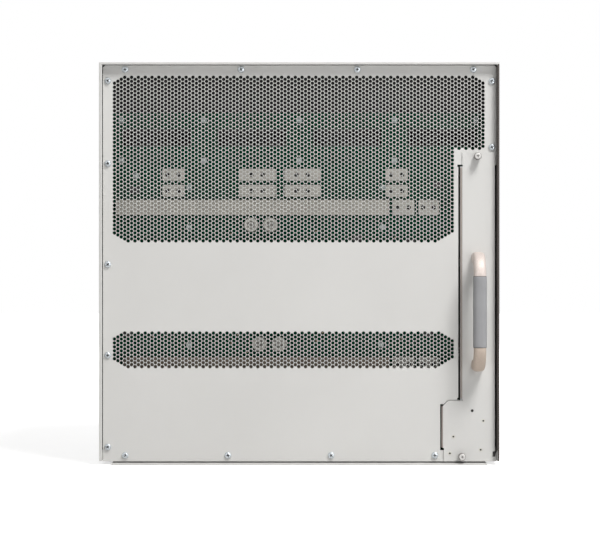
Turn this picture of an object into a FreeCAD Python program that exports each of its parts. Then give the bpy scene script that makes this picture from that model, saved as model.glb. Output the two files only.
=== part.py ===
"""Modular switch chassis, ten rack units high, with its fan tray, cards and power supplies.

Frame: the origin is the centre of the base plate's underside, +Z is up, the service side faces +Y and the
perforated rear panel faces -Y. All lengths are millimetres.
"""
import FreeCAD
import Part
import math
import os
import Sketcher
from collections import namedtuple
from FreeCAD import Placement, Rotation, Vector

# ---------------------------------------------------------------- driving sizes

SIZES = {
    # sheets
    "wall_sheet": 2.0,
    "panel_sheet": 1.2,
    "guide_sheet": 1.5,
    "bay_sheet": 1.2,
    "board_sheet": 4.0,
    "face_sheet": 2.0,
    # clearances
    "seat_gap": 0.3,
    "sheet_gap": 0.5,
    "face_gap": 0.8,
    # cabinet
    "chassis_depth": 414.0,
    "base_inset": 13.5,
    "rib_height": 2.5,
    "rib_width": 14.0,
    "rib_setback": 25.0,
    "wall_flange": 10.0,
    "board_margin": 10.0,
    "vent_start": 62.0,
    "vent_pitch": 56.0,
    "vent_length": 40.0,
    "vent_rise": 22.0,
    "vent_lift": 11.0,
    "top_channel": 22.0,
    "rear_overhang": 9.0,
    "rear_plenum": 30.8,
    # card cage
    "slot_pitch": 45.4,
    "cage_margin": 2.1,
    "shelf_gap": 2.9,
    "intake_gap": 4.0,
    "fan_bay_width": 43.5,
    "card_board": 1.6,
    "rail_height": 6.0,
    "rail_reach": 5.0,
    "groove_depth": 3.7,
    "window_start": 30.0,
    "window_pitch": 104.0,
    "window_length": 43.7,
    "window_rise": 25.0,
    "lip_depth": 9.0,
    "lip_inset": 12.0,
    "connector_depth": 12.0,
    "connector_height": 16.0,
    "plug_overlap": 10.0,
    "face_setback": 1.3,
    "port_depth": 1.5,
    # power bays
    "power_pitch_x": 106.3,
    "power_pitch_z": 43.5,
    "bay_side_gap": 5.1,
    "plug_height": 18.0,
    "plug_width": 50.0,
    "exhaust_width": 77.0,
    "exhaust_height": 19.6,
    "tab_reach": 11.0,
    "tab_rise": 20.5,
    "bay_lip_depth": 20.0,
    # rear panel
    "panel_gap": 0.5,
    "hole_pitch": 33.0,
    "hole_size": 24.5,
    "window_left": 18.0,
    "window_width": 377.0,
    "window_wing": 34.0,
    "window_top": 27.0,
    "window_height": 182.0,
    "wing_height": 78.0,
    "low_window_bottom": 105.0,
    "low_window_height": 38.0,
    "window_chamfer": 7.5,
    "screw_head": 7.0,
    "screw_height": 2.2,
    "screw_inset": 5.1,
    "side_screw_inset": 6.5,
    # fan tray
    "tray_width": 37.5,
    "tray_side_gap": 2.9,
    "tray_front_gap": 22.0,
    "tray_lift": 10.7,
    "tray_lip": 15.5,
    "tray_foot_width": 19.1,
    "tray_foot_height": 54.0,
    "tray_seam": 3.2,
    "tray_sheet": 1.5,
    "foot_corner": 6.0,
    "foot_clearance": 1.0,
    "flange_depth": 16.0,
    "fan_size": 92.0,
    "strut_width": 4.0,
    "strut_depth": 3.0,
    "fan_bore": 86.0,
    "fan_hub": 34.0,
    "fan_depth": 32.0,
    "fan_pitch_y": 150.0,
    "fan_pitch_z": 102.0,
    "blade_sweep": 14.0,
    "blade_sheet": 1.8,
    "knob_size": 8.0,
    "knob_length": 11.0,
    "knob_margin": 4.6,
    "knob_offset": 1.5,
    "shank_size": 4.0,
    "handle_rod": 13.6,
    "handle_span": 117.4,
    "handle_reach": 39.0,
    "handle_bend": 20.0,
    "handle_middle": 168.6,
    "grip_setback": 0.2,
    "grip_wall": 0.7,
    # boards and copper
    "upper_bar_drop": 53.1,
    "lower_bar_rise": 92.6,
    "terminal_drop": 14.9,
    "terminal_pitch": 17.9,
    "upper_stud_gap": 11.2,
    "lower_stud_gap": 14.7,
    "busbar_height": 16.7,
    "busbar_sheet": 3.0,
    "tab_height": 13.2,
    "stud_size": 16.0,
    "stud_height": 12.0,
    "bar_standoff": 4.0,
    "board_screw": 8.0,
    "board_screw_height": 2.5,
    # levers and latches
    "lever_length": 40.0,
    "lever_height": 14.0,
    "lever_sheet": 6.0,
    "lever_pin": 3.0,
    "lever_inset": 9.0,
    "ear_width": 7.0,
    "ear_sheet": 1.6,
    "latch_width": 12.0,
    "latch_height": 14.0,
    "latch_depth": 6.0,
    "latch_travel": 3.0,
    # supplies
    "supply_side_gap": 0.75,
    "supply_height": 41.4,
    "inlet_width": 27.0,
    "inlet_height": 21.0,
    "inlet_depth": 16.0,
    "pull_reach": 22.0,
    "pull_width": 22.0,
    "pull_sheet": 6.0,
    "supply_margin": 8.0,
    # rack bracket holes
    "bracket_hole": 4.2,
    "bracket_inset": 24.0,
    "bracket_pitch": 177.8,
    "bracket_low": 132.2,
}

SLOTS = 7
SUPERVISOR_SLOTS = (3, 4)
LINE_CARD_SLOTS = (2, 5)
BLANK_SLOTS = (1, 6, 7)
POWER_COLUMNS = 4
FAN_ROWS = 3
FAN_COLUMNS = 2
BLADES = 5
RUNNERS = 4
FULL_TURN = 360.0

# Places as shares of a length, so that they follow it.
PANEL_SCREWS_ACROSS = {"top": (0.059, 0.353, 0.647, 0.941), "foot": (0.059, 0.320, 0.581, 0.844)}
PANEL_SCREWS_UP = {"left": (0.961, 0.751, 0.496, 0.267, 0.034), "right": (0.960, 0.793)}
CONNECTOR_SHARES = ((0.105, 0.261), (0.339, 0.495), (0.690, 0.847))
TERMINAL_SHARES = ((0.154, 0.218), (0.376, 0.483), (0.508, 0.614), (0.803, 0.866))
BAR_END_SHARES = ((0.823, 0.885), (0.897, 0.957))
BAR_SHARES = {"upper_busbar": (0.020, 0.811), "lower_busbar": (0.044, 0.812)}
STUD_SHARES = {"upper": (0.412, 0.469), "lower": (0.436, 0.493)}

Ports = namedtuple("Ports", "start width lift height pitch count")
LINE_CARD_PORTS = (Ports(start=54, width=26, lift=8, height=29, pitch=29, count=10),)
SUPERVISOR_PORTS = (
    Ports(start=54, width=15.5, lift=9, height=11, pitch=20, count=8),
    Ports(start=216, width=16, lift=9, height=12, pitch=24, count=2),
    Ports(start=290, width=14, lift=9, height=6.5, pitch=1, count=1),
)

doc = FreeCAD.newDocument("ModularChassis")
sheet = doc.addObject("Spreadsheet::Sheet", "Sizes")
for row, (alias, number) in enumerate(SIZES.items(), start=1):
    sheet.set(f"A{row}", alias)
    sheet.set(f"B{row}", str(number))
    sheet.setAlias(f"B{row}", alias)
doc.recompute()


class Length:
    """A length that carries both its sheet expression and its present value."""

    def __init__(self, text, value):
        self.text = text
        self.value = value

    @staticmethod
    def of(other):
        if isinstance(other, Length):
            return other
        return Length(f"{other:g}" if other >= 0 else f"({other:g})", float(other))

    def join(self, sign, other, value):
        return Length(f"({self.text} {sign} {other.text})", value)

    def __add__(self, other):
        other = Length.of(other)
        return self.join("+", other, self.value + other.value)

    def __radd__(self, other):
        return Length.of(other) + self

    def __sub__(self, other):
        other = Length.of(other)
        return self.join("-", other, self.value - other.value)

    def __rsub__(self, other):
        return Length.of(other) - self

    def __mul__(self, other):
        other = Length.of(other)
        return self.join("*", other, self.value * other.value)

    def __rmul__(self, other):
        return Length.of(other) * self

    def __truediv__(self, other):
        other = Length.of(other)
        return self.join("/", other, self.value / other.value)

    def __neg__(self):
        return Length(f"(-{self.text})", -self.value)


def size(alias):
    """The driving size of that name, read from the sheet."""
    return Length(f"Sizes.{alias}", float(getattr(sheet, alias)))


# ---------------------------------------------------------------- document helpers

parts = {}


def bind(obj, prop, length):
    obj.setExpression(prop, Length.of(length).text)


def keep(name, obj):
    """Register the object as the sub-part of that name."""
    obj.Label = name
    parts[name] = obj
    return obj


def block(name, x, y, z):
    """A Part::Box between two places along each axis."""
    box = doc.addObject("Part::Box", name)
    for prop, axis, (low, high) in (("Length", "x", x), ("Width", "y", y), ("Height", "z", z)):
        bind(box, prop, Length.of(high) - low)
        bind(box, f"Placement.Base.{axis}", low)
    return box


def rod(name, centre, radius, length, axis):
    """A Part::Cylinder from its centre point along X, Y or Z."""
    cylinder = doc.addObject("Part::Cylinder", name)
    turn = {"x": Rotation(Vector(0, 1, 0), 90), "y": Rotation(Vector(1, 0, 0), -90), "z": Rotation()}
    cylinder.Placement = Placement(Vector(), turn[axis])
    bind(cylinder, "Radius", radius)
    bind(cylinder, "Height", length)
    for key, place in zip("xyz", centre):
        bind(cylinder, f"Placement.Base.{key}", place)
    return cylinder


def prism(name, centre, width, length, axis, sides=8):
    """A Part::Prism of regular section, its flats a width apart, along X, Y or Z."""
    solid = doc.addObject("Part::Prism", name)
    solid.Polygon = sides
    turn = {"x": Rotation(Vector(0, 1, 0), 90), "y": Rotation(Vector(1, 0, 0), -90), "z": Rotation()}
    solid.Placement = Placement(Vector(), turn[axis])
    bind(solid, "Circumradius", Length.of(width) / (2 * math.cos(math.pi / sides)))
    bind(solid, "Height", length)
    for key, place in zip("xyz", centre):
        bind(solid, f"Placement.Base.{key}", place)
    return solid


def fuse(name, *solids):
    union = doc.addObject("Part::MultiFuse", name)
    union.Shapes = list(solids)
    union.Refine = True
    return union


def cut(name, base, *tools):
    difference = doc.addObject("Part::Cut", name)
    difference.Base = base
    difference.Tool = tools[0] if len(tools) == 1 else fuse(f"{name}_tools", *tools)
    difference.Refine = True
    return difference


def group(name, *solids):
    """Separate solids that share one node."""
    compound = doc.addObject("Part::Compound", name)
    compound.Links = list(solids)
    return compound


def origin_plane(body, role):
    return next(feature for feature in body.Origin.OriginFeatures if feature.Role == role)


def outline(body, name, plane, points, offset=0):
    """A closed sketch on an origin plane, with every corner held by the sheet."""
    sketch = body.newObject("Sketcher::SketchObject", name)
    sketch.AttachmentSupport = [(origin_plane(body, f"{plane}_Plane"), "")]
    sketch.MapMode = "FlatFace"
    bind(sketch, "AttachmentOffset.Base.z", offset)
    points = [(Length.of(u), Length.of(v)) for u, v in points]
    corners = [Vector(u.value, v.value, 0) for u, v in points]
    count = len(points)
    lines = [Part.LineSegment(corners[i], corners[(i + 1) % count]) for i in range(count)]
    sketch.addGeometry(lines, False)
    joins = [Sketcher.Constraint("Coincident", i, 2, (i + 1) % count, 1) for i in range(count)]
    for i, corner in enumerate(corners):
        joins.append(Sketcher.Constraint("DistanceX", -1, 1, i, 1, corner.x))
        joins.append(Sketcher.Constraint("DistanceY", -1, 1, i, 1, corner.y))
    sketch.addConstraint(joins)
    for i, (u, v) in enumerate(points):
        sketch.setExpression(f"Constraints[{count + 2 * i}]", u.text)
        sketch.setExpression(f"Constraints[{count + 2 * i + 1}]", v.text)
    return sketch


def plate(name, plane, points, low, high):
    """A body padded from an outline between two places along the plane's normal axis.

    The XZ plane's normal is -Y, so there the sketch lies at the far place and the pad runs back to the near one.
    """
    body = doc.addObject("PartDesign::Body", name)
    low, high = Length.of(low), Length.of(high)
    start = -high if plane == "XZ" else low
    sketch = outline(body, f"{name}_outline", plane, points, start)
    pad = body.newObject("PartDesign::Pad", f"{name}_pad")
    pad.Profile = sketch
    bind(pad, "Length", high - low)
    sketch.Visibility = False
    return body


def rectangle(u, v):
    return [(u[0], v[0]), (u[1], v[0]), (u[1], v[1]), (u[0], v[1])]


def add_pocket(body, name, plane, points, low, high):
    """A pocket in a body between two places along the plane's normal axis."""
    low, high = Length.of(low), Length.of(high)
    start = -low if plane == "XZ" else high
    sketch = outline(body, f"{name}_outline", plane, points, start)
    pocket = body.newObject("PartDesign::Pocket", name)
    pocket.Profile = sketch
    bind(pocket, "Length", high - low)
    sketch.Visibility = False
    return pocket


def repeat(body, feature, *directions):
    """A pattern of a feature along one or two origin axes: (role, pitch, count) each."""
    steps = []
    for role, pitch, count in directions:
        pattern = body.newObject("PartDesign::LinearPattern", f"{feature.Name}_{role[0]}")
        pattern.Direction = (origin_plane(body, role), [""])
        pattern.Mode = "Spacing" if "Spacing" in pattern.getEnumerationsOfProperty("Mode") else "Extent"
        bind(pattern, "Offset", pitch)
        pattern.Occurrences = count
        steps.append(pattern)
    if len(steps) == 1:
        steps[0].Originals = [feature]
        body.Tip = steps[0]
        return steps[0]
    grid = body.newObject("PartDesign::MultiTransform", f"{feature.Name}_grid")
    grid.Originals = [feature]
    grid.Transformations = steps
    body.Tip = grid
    return grid


# ---------------------------------------------------------------- places

wall = size("wall_sheet")
panel = size("panel_sheet")
gap = size("seat_gap")
loose = size("sheet_gap")

# across the chassis
inner_x = 2 * size("power_pitch_x") + size("bay_side_gap")
outer_x = inner_x + wall
cage_left = -inner_x + size("intake_gap") + size("guide_sheet")
cage_right = inner_x - size("fan_bay_width") - size("guide_sheet")
fan_bay_left = inner_x - size("fan_bay_width")

# front to back
rear_y = -size("chassis_depth") / 2
front_y = size("chassis_depth") / 2
panel_back = rear_y + size("rear_overhang")
panel_front = panel_back + panel
board_back = panel_front + size("rear_plenum")
board_front = board_back + size("board_sheet")
mating_y = board_front + size("connector_depth")
face_back = front_y - size("face_setback") - size("face_sheet")
face_front = face_back + size("face_sheet")

# up the chassis
pan_low = wall + size("rib_height")
pan_high = pan_low + size("guide_sheet")
cage_low = pan_high + size("cage_margin")
cage_high = cage_low + SLOTS * size("slot_pitch")
shelf_low = cage_high + size("shelf_gap")
bay_low = shelf_low + size("bay_sheet")
bay_high = bay_low + 2 * size("power_pitch_z")
roof_high = bay_high + size("bay_sheet")
cover_low = roof_high + size("top_channel")
chassis_high = cover_low + wall
board_high = bay_low + size("power_pitch_z") + size("plug_height") + size("face_sheet")

# backplane
board_left = cage_left + loose
board_right = cage_right - loose
board_wing = inner_x - size("board_margin")

# fan tray
tray_right = inner_x - size("tray_side_gap")
tray_left = tray_right - size("tray_width")
tray_low = pan_high + size("tray_lift")
tray_high = shelf_low - gap
tray_front = front_y - size("tray_front_gap")
cover_back = panel_back - panel
foot_left = tray_left - size("tray_foot_width")
foot_high = tray_low + size("tray_foot_height")
foot_shoulder = foot_high - size("foot_corner")
lip_high = tray_high + size("tray_lip")


def slot_low(slot):
    """The lowest place of a slot, counted from the top of the cage."""
    return cage_low + (SLOTS - slot) * size("slot_pitch")


def bay_left(column):
    return (column - POWER_COLUMNS / 2) * size("power_pitch_x")


def bay_floor(row):
    return bay_low + row * size("power_pitch_z")


def share(low, high, part):
    """The place a given share of the way from low to high."""
    return low + (high - low) * part


# ---------------------------------------------------------------- cabinet

def make_base_plate():
    """The plate that the chassis stands on, with the welded runners that carry the floor pan."""
    half = outer_x - size("base_inset")
    pieces = [block("base_sheet", (-half, half), (rear_y, front_y), (0, wall))]
    reach = size("rib_width") / 2
    for place in range(RUNNERS):
        middle = share(-half + 2 * reach, half - 2 * reach, place / (RUNNERS - 1))
        pieces.append(block(
            f"base_runner_{place}",
            (middle - reach, middle + reach),
            (rear_y + size("rib_setback"), front_y - size("rib_setback")),
            (wall, pan_low),
        ))
    keep("base_plate", group("base_plate", *pieces))


def make_floor_pan():
    """The pan between the walls, turned up behind the rear panel's lowest screws."""
    sheet_high = size("guide_sheet")
    profile = [
        (panel_front, pan_low), (face_back, pan_low), (face_back, pan_high),
        (panel_front + sheet_high, pan_high), (panel_front + sheet_high, tray_low - gap - loose),
        (panel_front, tray_low - gap - loose),
    ]
    keep("floor_pan", plate("floor_pan", "YZ", profile, -inner_x, inner_x))


def make_top_cover():
    """The lid, folded down behind the rear panel."""
    profile = [
        (rear_y, cover_low), (panel_front, cover_low), (panel_front, cover_low - size("wall_flange")),
        (panel_front + wall, cover_low - size("wall_flange")), (panel_front + wall, cover_low),
        (front_y, cover_low), (front_y, chassis_high), (rear_y, chassis_high),
    ]
    flanged = plate("cover_sheet", "YZ", profile, -outer_x, outer_x)
    ends = [
        block(f"cover_end_{side}", x, (panel_front, panel_front + wall),
              (cover_low - size("wall_flange"), cover_low))
        for side, x in (("left", (-outer_x, -inner_x + loose)), ("right", (inner_x - loose, outer_x)))
    ]
    keep("top_cover", cut("top_cover", flanged, *ends))


def make_side_wall(name, side, flange_low):
    """A side wall with its field of vent slots, and the angle strips welded inside it for panel and cover."""
    reach = size("wall_flange")
    outside, inside = side * outer_x, side * inner_x
    low_x, high_x = (outside, inside) if side < 0 else (inside, outside)
    side_sheet = plate(f"{name}_sheet", "YZ", rectangle((rear_y, front_y), (pan_low, cover_low)),
                       low_x, high_x)
    start, first = rear_y + size("vent_start"), tray_low + size("vent_lift")
    vent = rectangle((start, start + size("vent_length")), (first, first + size("vent_rise")))
    slot = add_pocket(side_sheet, f"{name}_vent", "YZ", vent, low_x, high_x)
    repeat(side_sheet, slot, ("Y_Axis", size("vent_pitch"), 5), ("Z_Axis", size("slot_pitch"), SLOTS))
    holes = []
    for step in (0, 1):
        holes.append(rod(
            f"{name}_bracket_hole_{step}",
            (low_x, front_y - size("bracket_inset"), size("bracket_low") + step * size("bracket_pitch")),
            size("bracket_hole") / 2, wall, "x",
        ))
    strip_x = (inside, inside + reach) if side < 0 else (inside - reach, inside)
    rear = block(f"{name}_rear_strip", strip_x, (panel_front, panel_front + wall),
                 (flange_low, cover_low - reach - loose))
    top = block(f"{name}_top_strip", strip_x, (panel_front + wall + loose, face_back - loose),
                (cover_low - wall, cover_low))
    keep(name, group(name, cut(f"{name}_drilled", side_sheet, *holes), rear, top))


# ---------------------------------------------------------------- rear panel

panel_x = inner_x - size("panel_gap")
panel_top = cover_low - size("panel_gap")
notch_left = fan_bay_left - size("sheet_gap")
notch_foot = foot_left - size("tray_seam") + size("seat_gap")
notch_low = tray_low - size("foot_clearance")
notch_high = tray_high + size("tray_seam")
foot_step = foot_high + size("tray_seam")


def window_fields():
    """The two perforated windows as (left, right, bottom, top) with the upper one's wing at the right."""
    left = -panel_x + size("window_left")
    top = panel_top - size("window_top")
    main = (left, left + size("window_width"), top - size("window_height"), top)
    wing = (main[1], main[1] + size("window_wing"), top - size("wing_height"), top)
    low = (left, main[1], pan_low + size("low_window_bottom"),
           pan_low + size("low_window_bottom") + size("low_window_height"))
    return main, wing, low


def hexagon(x, z, across):
    """A flat-sided opening cutter through the panel, two of its flats upright."""
    radius = across / math.sqrt(3)
    corners = [
        Vector(x + radius * math.sin(math.radians(60 * k)), panel_back.value - 1,
               z + radius * math.cos(math.radians(60 * k)))
        for k in range(7)
    ]
    return Part.Face(Part.makePolygon(corners)).extrude(Vector(0, panel.value + 2, 0))


def field_holes(field, pitch, across, cut_corners):
    """Staggered upright rows of openings that fill a field, its corners cut back as the rows narrow."""
    left, right, bottom, top = (place.value for place in field)
    column_step = pitch * math.sqrt(3) / 2
    columns = max(int((right - left - across) / column_step) + 1, 1)
    spare = (right - left - across - (columns - 1) * column_step) / 2
    holes = []
    for column in range(columns):
        x = left + across / 2 + spare + column * column_step
        lift = pitch / 2 * (column % 2)
        rows = int((top - bottom - across - lift) / pitch) + 1
        for step in range(rows):
            z = top - across / 2 - lift - step * pitch
            at_edge = min(x - left, right - x) + min(z - bottom, top - z) - across
            if cut_corners and at_edge < size("window_chamfer").value - across / 2:
                continue
            holes.append(hexagon(x, z, across))
    return holes


def make_rear_panel():
    """The perforated rear panel: a main sheet, the strip above the fan tray's cover and the sill below it."""
    corner = size("foot_corner")
    main, wing, low = window_fields()
    pitch, across = size("hole_pitch").value, size("hole_size").value
    openings = doc.addObject("Part::Feature", "rear_panel_openings")
    openings.Shape = Part.makeCompound(
        field_holes(main, pitch, across, True)
        + field_holes(wing, pitch, across, False)
        + field_holes(low, pitch, across, True)
    )
    taps = [
        prism(f"rear_panel_tap_{place}", (x, panel_back - 1, z), size("shank_size") + 2 * gap, panel + 2, "y")
        for place, (x, z) in enumerate(thumbscrew_places())
    ]
    outlines = {
        "main": [
            (-panel_x, pan_low), (notch_foot, pan_low), (notch_foot, foot_step - corner),
            (notch_foot + corner, foot_step), (notch_left, foot_step), (notch_left, panel_top), (-panel_x, panel_top),
        ],
        "strip": rectangle((notch_left, panel_x), (notch_high, panel_top)),
        "sill": rectangle((notch_foot, panel_x), (pan_low, notch_low)),
    }
    tools = {"main": [openings], "strip": [openings, taps[0]], "sill": [taps[1]]}
    sheets = [
        cut(f"rear_panel_{word}", plate(f"rear_panel_{word}_blank", "XZ", points, panel_back, panel_front),
            *tools[word])
        for word, points in outlines.items()
    ]
    keep("rear_panel", group("rear_panel", *sheets))


def thumbscrew_places():
    """Upper and lower captive screw of the fan tray."""
    return (
        ((tray_left + tray_right) / 2, lip_high - size("knob_margin")),
        (tray_left + size("knob_offset"), pan_low + size("knob_margin")),
    )


def make_rear_panel_screws():
    """The pan-head screws round the rear panel."""
    rows = {"top": cover_low - size("screw_inset"), "foot": pan_low + size("screw_inset")}
    columns = {"left": -inner_x + size("side_screw_inset"), "right": inner_x - size("screw_inset")}
    places = [(share(-panel_x, panel_x, part), z) for row, z in rows.items()
              for part in PANEL_SCREWS_ACROSS[row]]
    places += [(x, share(pan_low, panel_top, part)) for column, x in columns.items()
               for part in PANEL_SCREWS_UP[column]]
    heads = [
        prism(f"panel_screw_{k}", (x, panel_back - size("screw_height"), z), size("screw_head"),
              size("screw_height"), "y")
        for k, (x, z) in enumerate(places)
    ]
    keep("rear_panel_screws", group("rear_panel_screws", *heads))


# ---------------------------------------------------------------- card cage

def make_card_guide(name, side):
    """A guide plate with a grooved rail for each slot and windows for the air, and the strips that hold it."""
    inside = cage_left if side < 0 else cage_right
    outside = inside + side * size("guide_sheet")
    reach = inside - side * size("rail_reach")
    groove = reach + side * size("groove_depth")
    half_groove = size("card_board") / 2 + gap
    points = [(outside, pan_high), (inside, pan_high)]
    for slot in range(SLOTS, 0, -1):
        middle = slot_low(slot) + size("rail_height")
        low, high = middle - size("rail_height") / 2, middle + size("rail_height") / 2
        points += [
            (inside, low), (reach, low), (reach, middle - half_groove), (groove, middle - half_groove),
            (groove, middle + half_groove), (reach, middle + half_groove), (reach, high), (inside, high),
        ]
    points += [(inside, cage_high), (outside, cage_high)]
    if side < 0:
        points.reverse()
    rails = plate(f"{name}_rails", "XZ", points, board_front, face_back)
    low_x, high_x = (outside, inside) if side < 0 else (inside, outside)
    first = slot_low(SLOTS) + 2 * size("rail_height") + 2
    start = board_front + size("window_start")
    opening = rectangle((start, start + size("window_length")), (first, first + size("window_rise")))
    window = add_pocket(rails, f"{name}_window", "YZ", opening, low_x, high_x)
    repeat(rails, window, ("Y_Axis", size("window_pitch"), 3), ("Z_Axis", size("slot_pitch"), SLOTS))
    pieces = [rails]
    far_x = -inner_x if side < 0 else face_right
    span = (far_x, outside) if side < 0 else (outside, far_x)
    pieces.append(block(f"{name}_front_strip", span, (face_back - size("guide_sheet"), face_back),
                        (pan_high, cage_high)))
    if side > 0:
        pieces.append(block(f"{name}_tray_runner", (outside, inner_x), (board_front, tray_front),
                            (tray_low - gap - size("guide_sheet"), tray_low - gap)))
    keep(name, group(name, *pieces))


def card_span():
    """The card's board from groove to groove, a seat gap short of each groove's bottom."""
    left = cage_left + size("rail_reach") - size("groove_depth") + gap
    right = cage_right - size("rail_reach") + size("groove_depth") - gap
    return left, right


face_left = cage_left - size("guide_sheet") - size("intake_gap") + loose
face_right = cage_right + size("guide_sheet") + size("intake_gap")


def lever_pivots():
    """(side, x) of the two lever pivots at the ends of a face."""
    return ((-1, face_left + size("lever_inset")), (1, face_right - size("lever_inset")))


lever_boss = size("lever_sheet") / 2 + 1
pivot_y = face_front + lever_boss + gap


def make_card(name, slot, port_rows):
    """A card: face with port openings, circuit board, backplane connectors and the levers' brackets."""
    middle = slot_low(slot) + size("rail_height")
    left, right = card_span()
    low, high = slot_low(slot), slot_low(slot) + size("slot_pitch") - size("face_gap")
    half_board = size("card_board") / 2
    face = plate(f"{name}_face", "XZ", rectangle((face_left, face_right), (low, high)), face_back, face_front)
    for number, row in enumerate(port_rows):
        start = face_left + row.start
        opening = rectangle((start, start + row.width), (low + row.lift, low + row.lift + row.height))
        port = add_pocket(face, f"{name}_port_{number}", "XZ", opening,
                          face_front - size("port_depth"), face_front)
        if row.count > 1:
            repeat(face, port, ("X_Axis", Length.of(row.pitch), row.count))
    pieces = [face, block(f"{name}_board", (left, right), (mating_y + gap, face_back),
                          (middle - half_board, middle + half_board))]
    for number, span in enumerate(slot_connector_spans()):
        pieces.append(block(f"{name}_plug_{number}", span, (mating_y, mating_y + size("plug_overlap")),
                            (middle - half_board, middle + size("connector_height") * 0.75)))
    height = (low + high) / 2
    half_lever, half_ear = size("lever_height") / 2, size("ear_width") / 2
    for side, x in lever_pivots():
        word = "left" if side < 0 else "right"
        below, above = height - half_lever - gap, height + half_lever + gap
        for end, foot in (("low", below - size("ear_sheet")), ("high", above)):
            pieces.append(block(f"{name}_ear_{word}_{end}", (x - half_ear, x + half_ear),
                                (face_front, pivot_y + size("lever_pin")), (foot, foot + size("ear_sheet"))))
        pieces.append(prism(f"{name}_pin_{word}", (x, pivot_y, below), size("lever_pin"), above - below, "z"))
    keep(name, fuse(name, *pieces))
    for side, x in lever_pivots():
        make_lever(f"{name}_lever_{'left' if side < 0 else 'right'}", side, x, height)


def make_lever(name, side, x, height):
    """An ejector lever: a bar that tapers from its pivot boss to its finger end."""
    half = size("lever_sheet") / 2
    corner = lever_boss * 0.5
    tip = x - side * size("lever_length")
    slope = share(x, tip, 0.4)
    points = [
        (x + side * corner, pivot_y - half), (x + side * lever_boss, pivot_y),
        (x + side * corner, pivot_y + lever_boss), (x - side * lever_boss, pivot_y + lever_boss),
        (slope, pivot_y + half), (tip, pivot_y + half), (tip, pivot_y - half * 0.3), (slope, pivot_y - half),
    ]
    if side < 0:
        points.reverse()
    low, high = height - size("lever_height") / 2, height + size("lever_height") / 2
    bar = plate(f"{name}_bar", "XY", points, low, high)
    bore = prism(f"{name}_bore", (x, pivot_y, low), size("lever_pin") + 2 * gap, size("lever_height"), "z")
    keep(name, cut(name, bar, bore))


def slot_connector_spans():
    """The backplane connectors of a slot along X, kept between the lower board's edges."""
    return [(share(board_left, board_right, low), share(board_left, board_right, high))
            for low, high in CONNECTOR_SHARES]


def make_slot_connectors():
    blocks = []
    for slot in range(1, SLOTS + 1):
        middle = slot_low(slot) + size("rail_height")
        for number, span in enumerate(slot_connector_spans()):
            blocks.append(block(f"slot_connector_{slot}_{number}", span, (board_front, mating_y),
                                (middle - size("connector_height") / 2, middle + size("connector_height") / 2)))
    keep("slot_connectors", group("slot_connectors", *blocks))


def make_slot_blanks():
    for slot in BLANK_SLOTS:
        low = slot_low(slot)
        high = low + size("slot_pitch") - size("face_gap")
        face = block(f"blank_face_{slot}", (face_left, face_right), (face_back, face_front), (low, high))
        inset, depth, thin = size("lip_inset"), size("lip_depth"), size("face_sheet") / 2
        lips = [
            block(f"blank_lip_{slot}_{end}", (cage_left + inset, cage_right - inset),
                  (face_back - depth, face_back), z)
            for end, z in (("low", (low, low + thin)), ("high", (high - thin, high)))
        ]
        keep(f"slot_blank_{slot}", fuse(f"slot_blank_{slot}", face, *lips))


# ---------------------------------------------------------------- backplane

def make_backplane_board():
    """The backplane: narrow beside the fan tray, wider above it, with an exhaust cut-out for each lower bay."""
    points = [
        (board_left, pan_high + loose), (board_right, pan_high + loose), (board_right, bay_low + 1),
        (board_wing, bay_low + 1), (board_wing, board_high), (board_left, board_high),
    ]
    board = plate("backplane_board", "XZ", points, board_back, board_front)
    middle = bay_left(0) + size("power_pitch_x") / 2
    low = bay_floor(0) + size("plug_height") + 4.4
    half = size("exhaust_width") / 2
    opening = rectangle((middle - half, middle + half), (low, low + size("exhaust_height")))
    window = add_pocket(board, "exhaust_window", "XZ", opening, board_back, board_front)
    repeat(board, window, ("X_Axis", size("power_pitch_x"), POWER_COLUMNS))
    keep("backplane_board", board)


def make_power_connectors():
    """The supplies' connectors along the lower half of each bay."""
    blocks = []
    for row in (0, 1):
        for column in range(POWER_COLUMNS):
            middle = bay_left(column) + size("power_pitch_x") / 2
            low = bay_floor(row) + gap + 1
            blocks.append(block(f"power_connector_{row}_{column}",
                                (middle - size("plug_width") / 2, middle + size("plug_width") / 2),
                                (board_front, mating_y), (low, low + size("plug_height"))))
    keep("power_connectors", group("power_connectors", *blocks))


# rows of copper on the back of the board, measured down from the shelf and up from the cage floor
upper_bar_low = shelf_low - size("upper_bar_drop")
lower_bar_low = cage_low + size("lower_bar_rise")
terminal_rows = (shelf_low - size("terminal_drop"), shelf_low - size("terminal_drop") - size("terminal_pitch"))
stud_rows = {
    "upper": upper_bar_low - size("upper_stud_gap"),
    "lower": lower_bar_low + size("busbar_height") + size("lower_stud_gap"),
}


def board_span(shares):
    return tuple(share(board_left, board_right, part) for part in shares)


def make_busbar(name, low):
    """A copper bar on stand-off feet against the back of the board."""
    left, right = board_span(BAR_SHARES[name])
    bar_front = board_back - size("bar_standoff")
    bar = block(f"{name}_bar", (left, right), (bar_front - size("busbar_sheet"), bar_front),
                (low, low + size("busbar_height")))
    foot = size("board_screw")
    margin = size("bar_standoff")
    feet = []
    for k in range(4):
        start = share(left + margin, right - margin - foot, k / 3)
        feet.append(block(f"{name}_foot_{k}", (start, start + foot), (bar_front, board_back),
                          (low + margin, low + size("busbar_height") - margin)))
    keep(name, fuse(name, bar, *feet))


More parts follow.
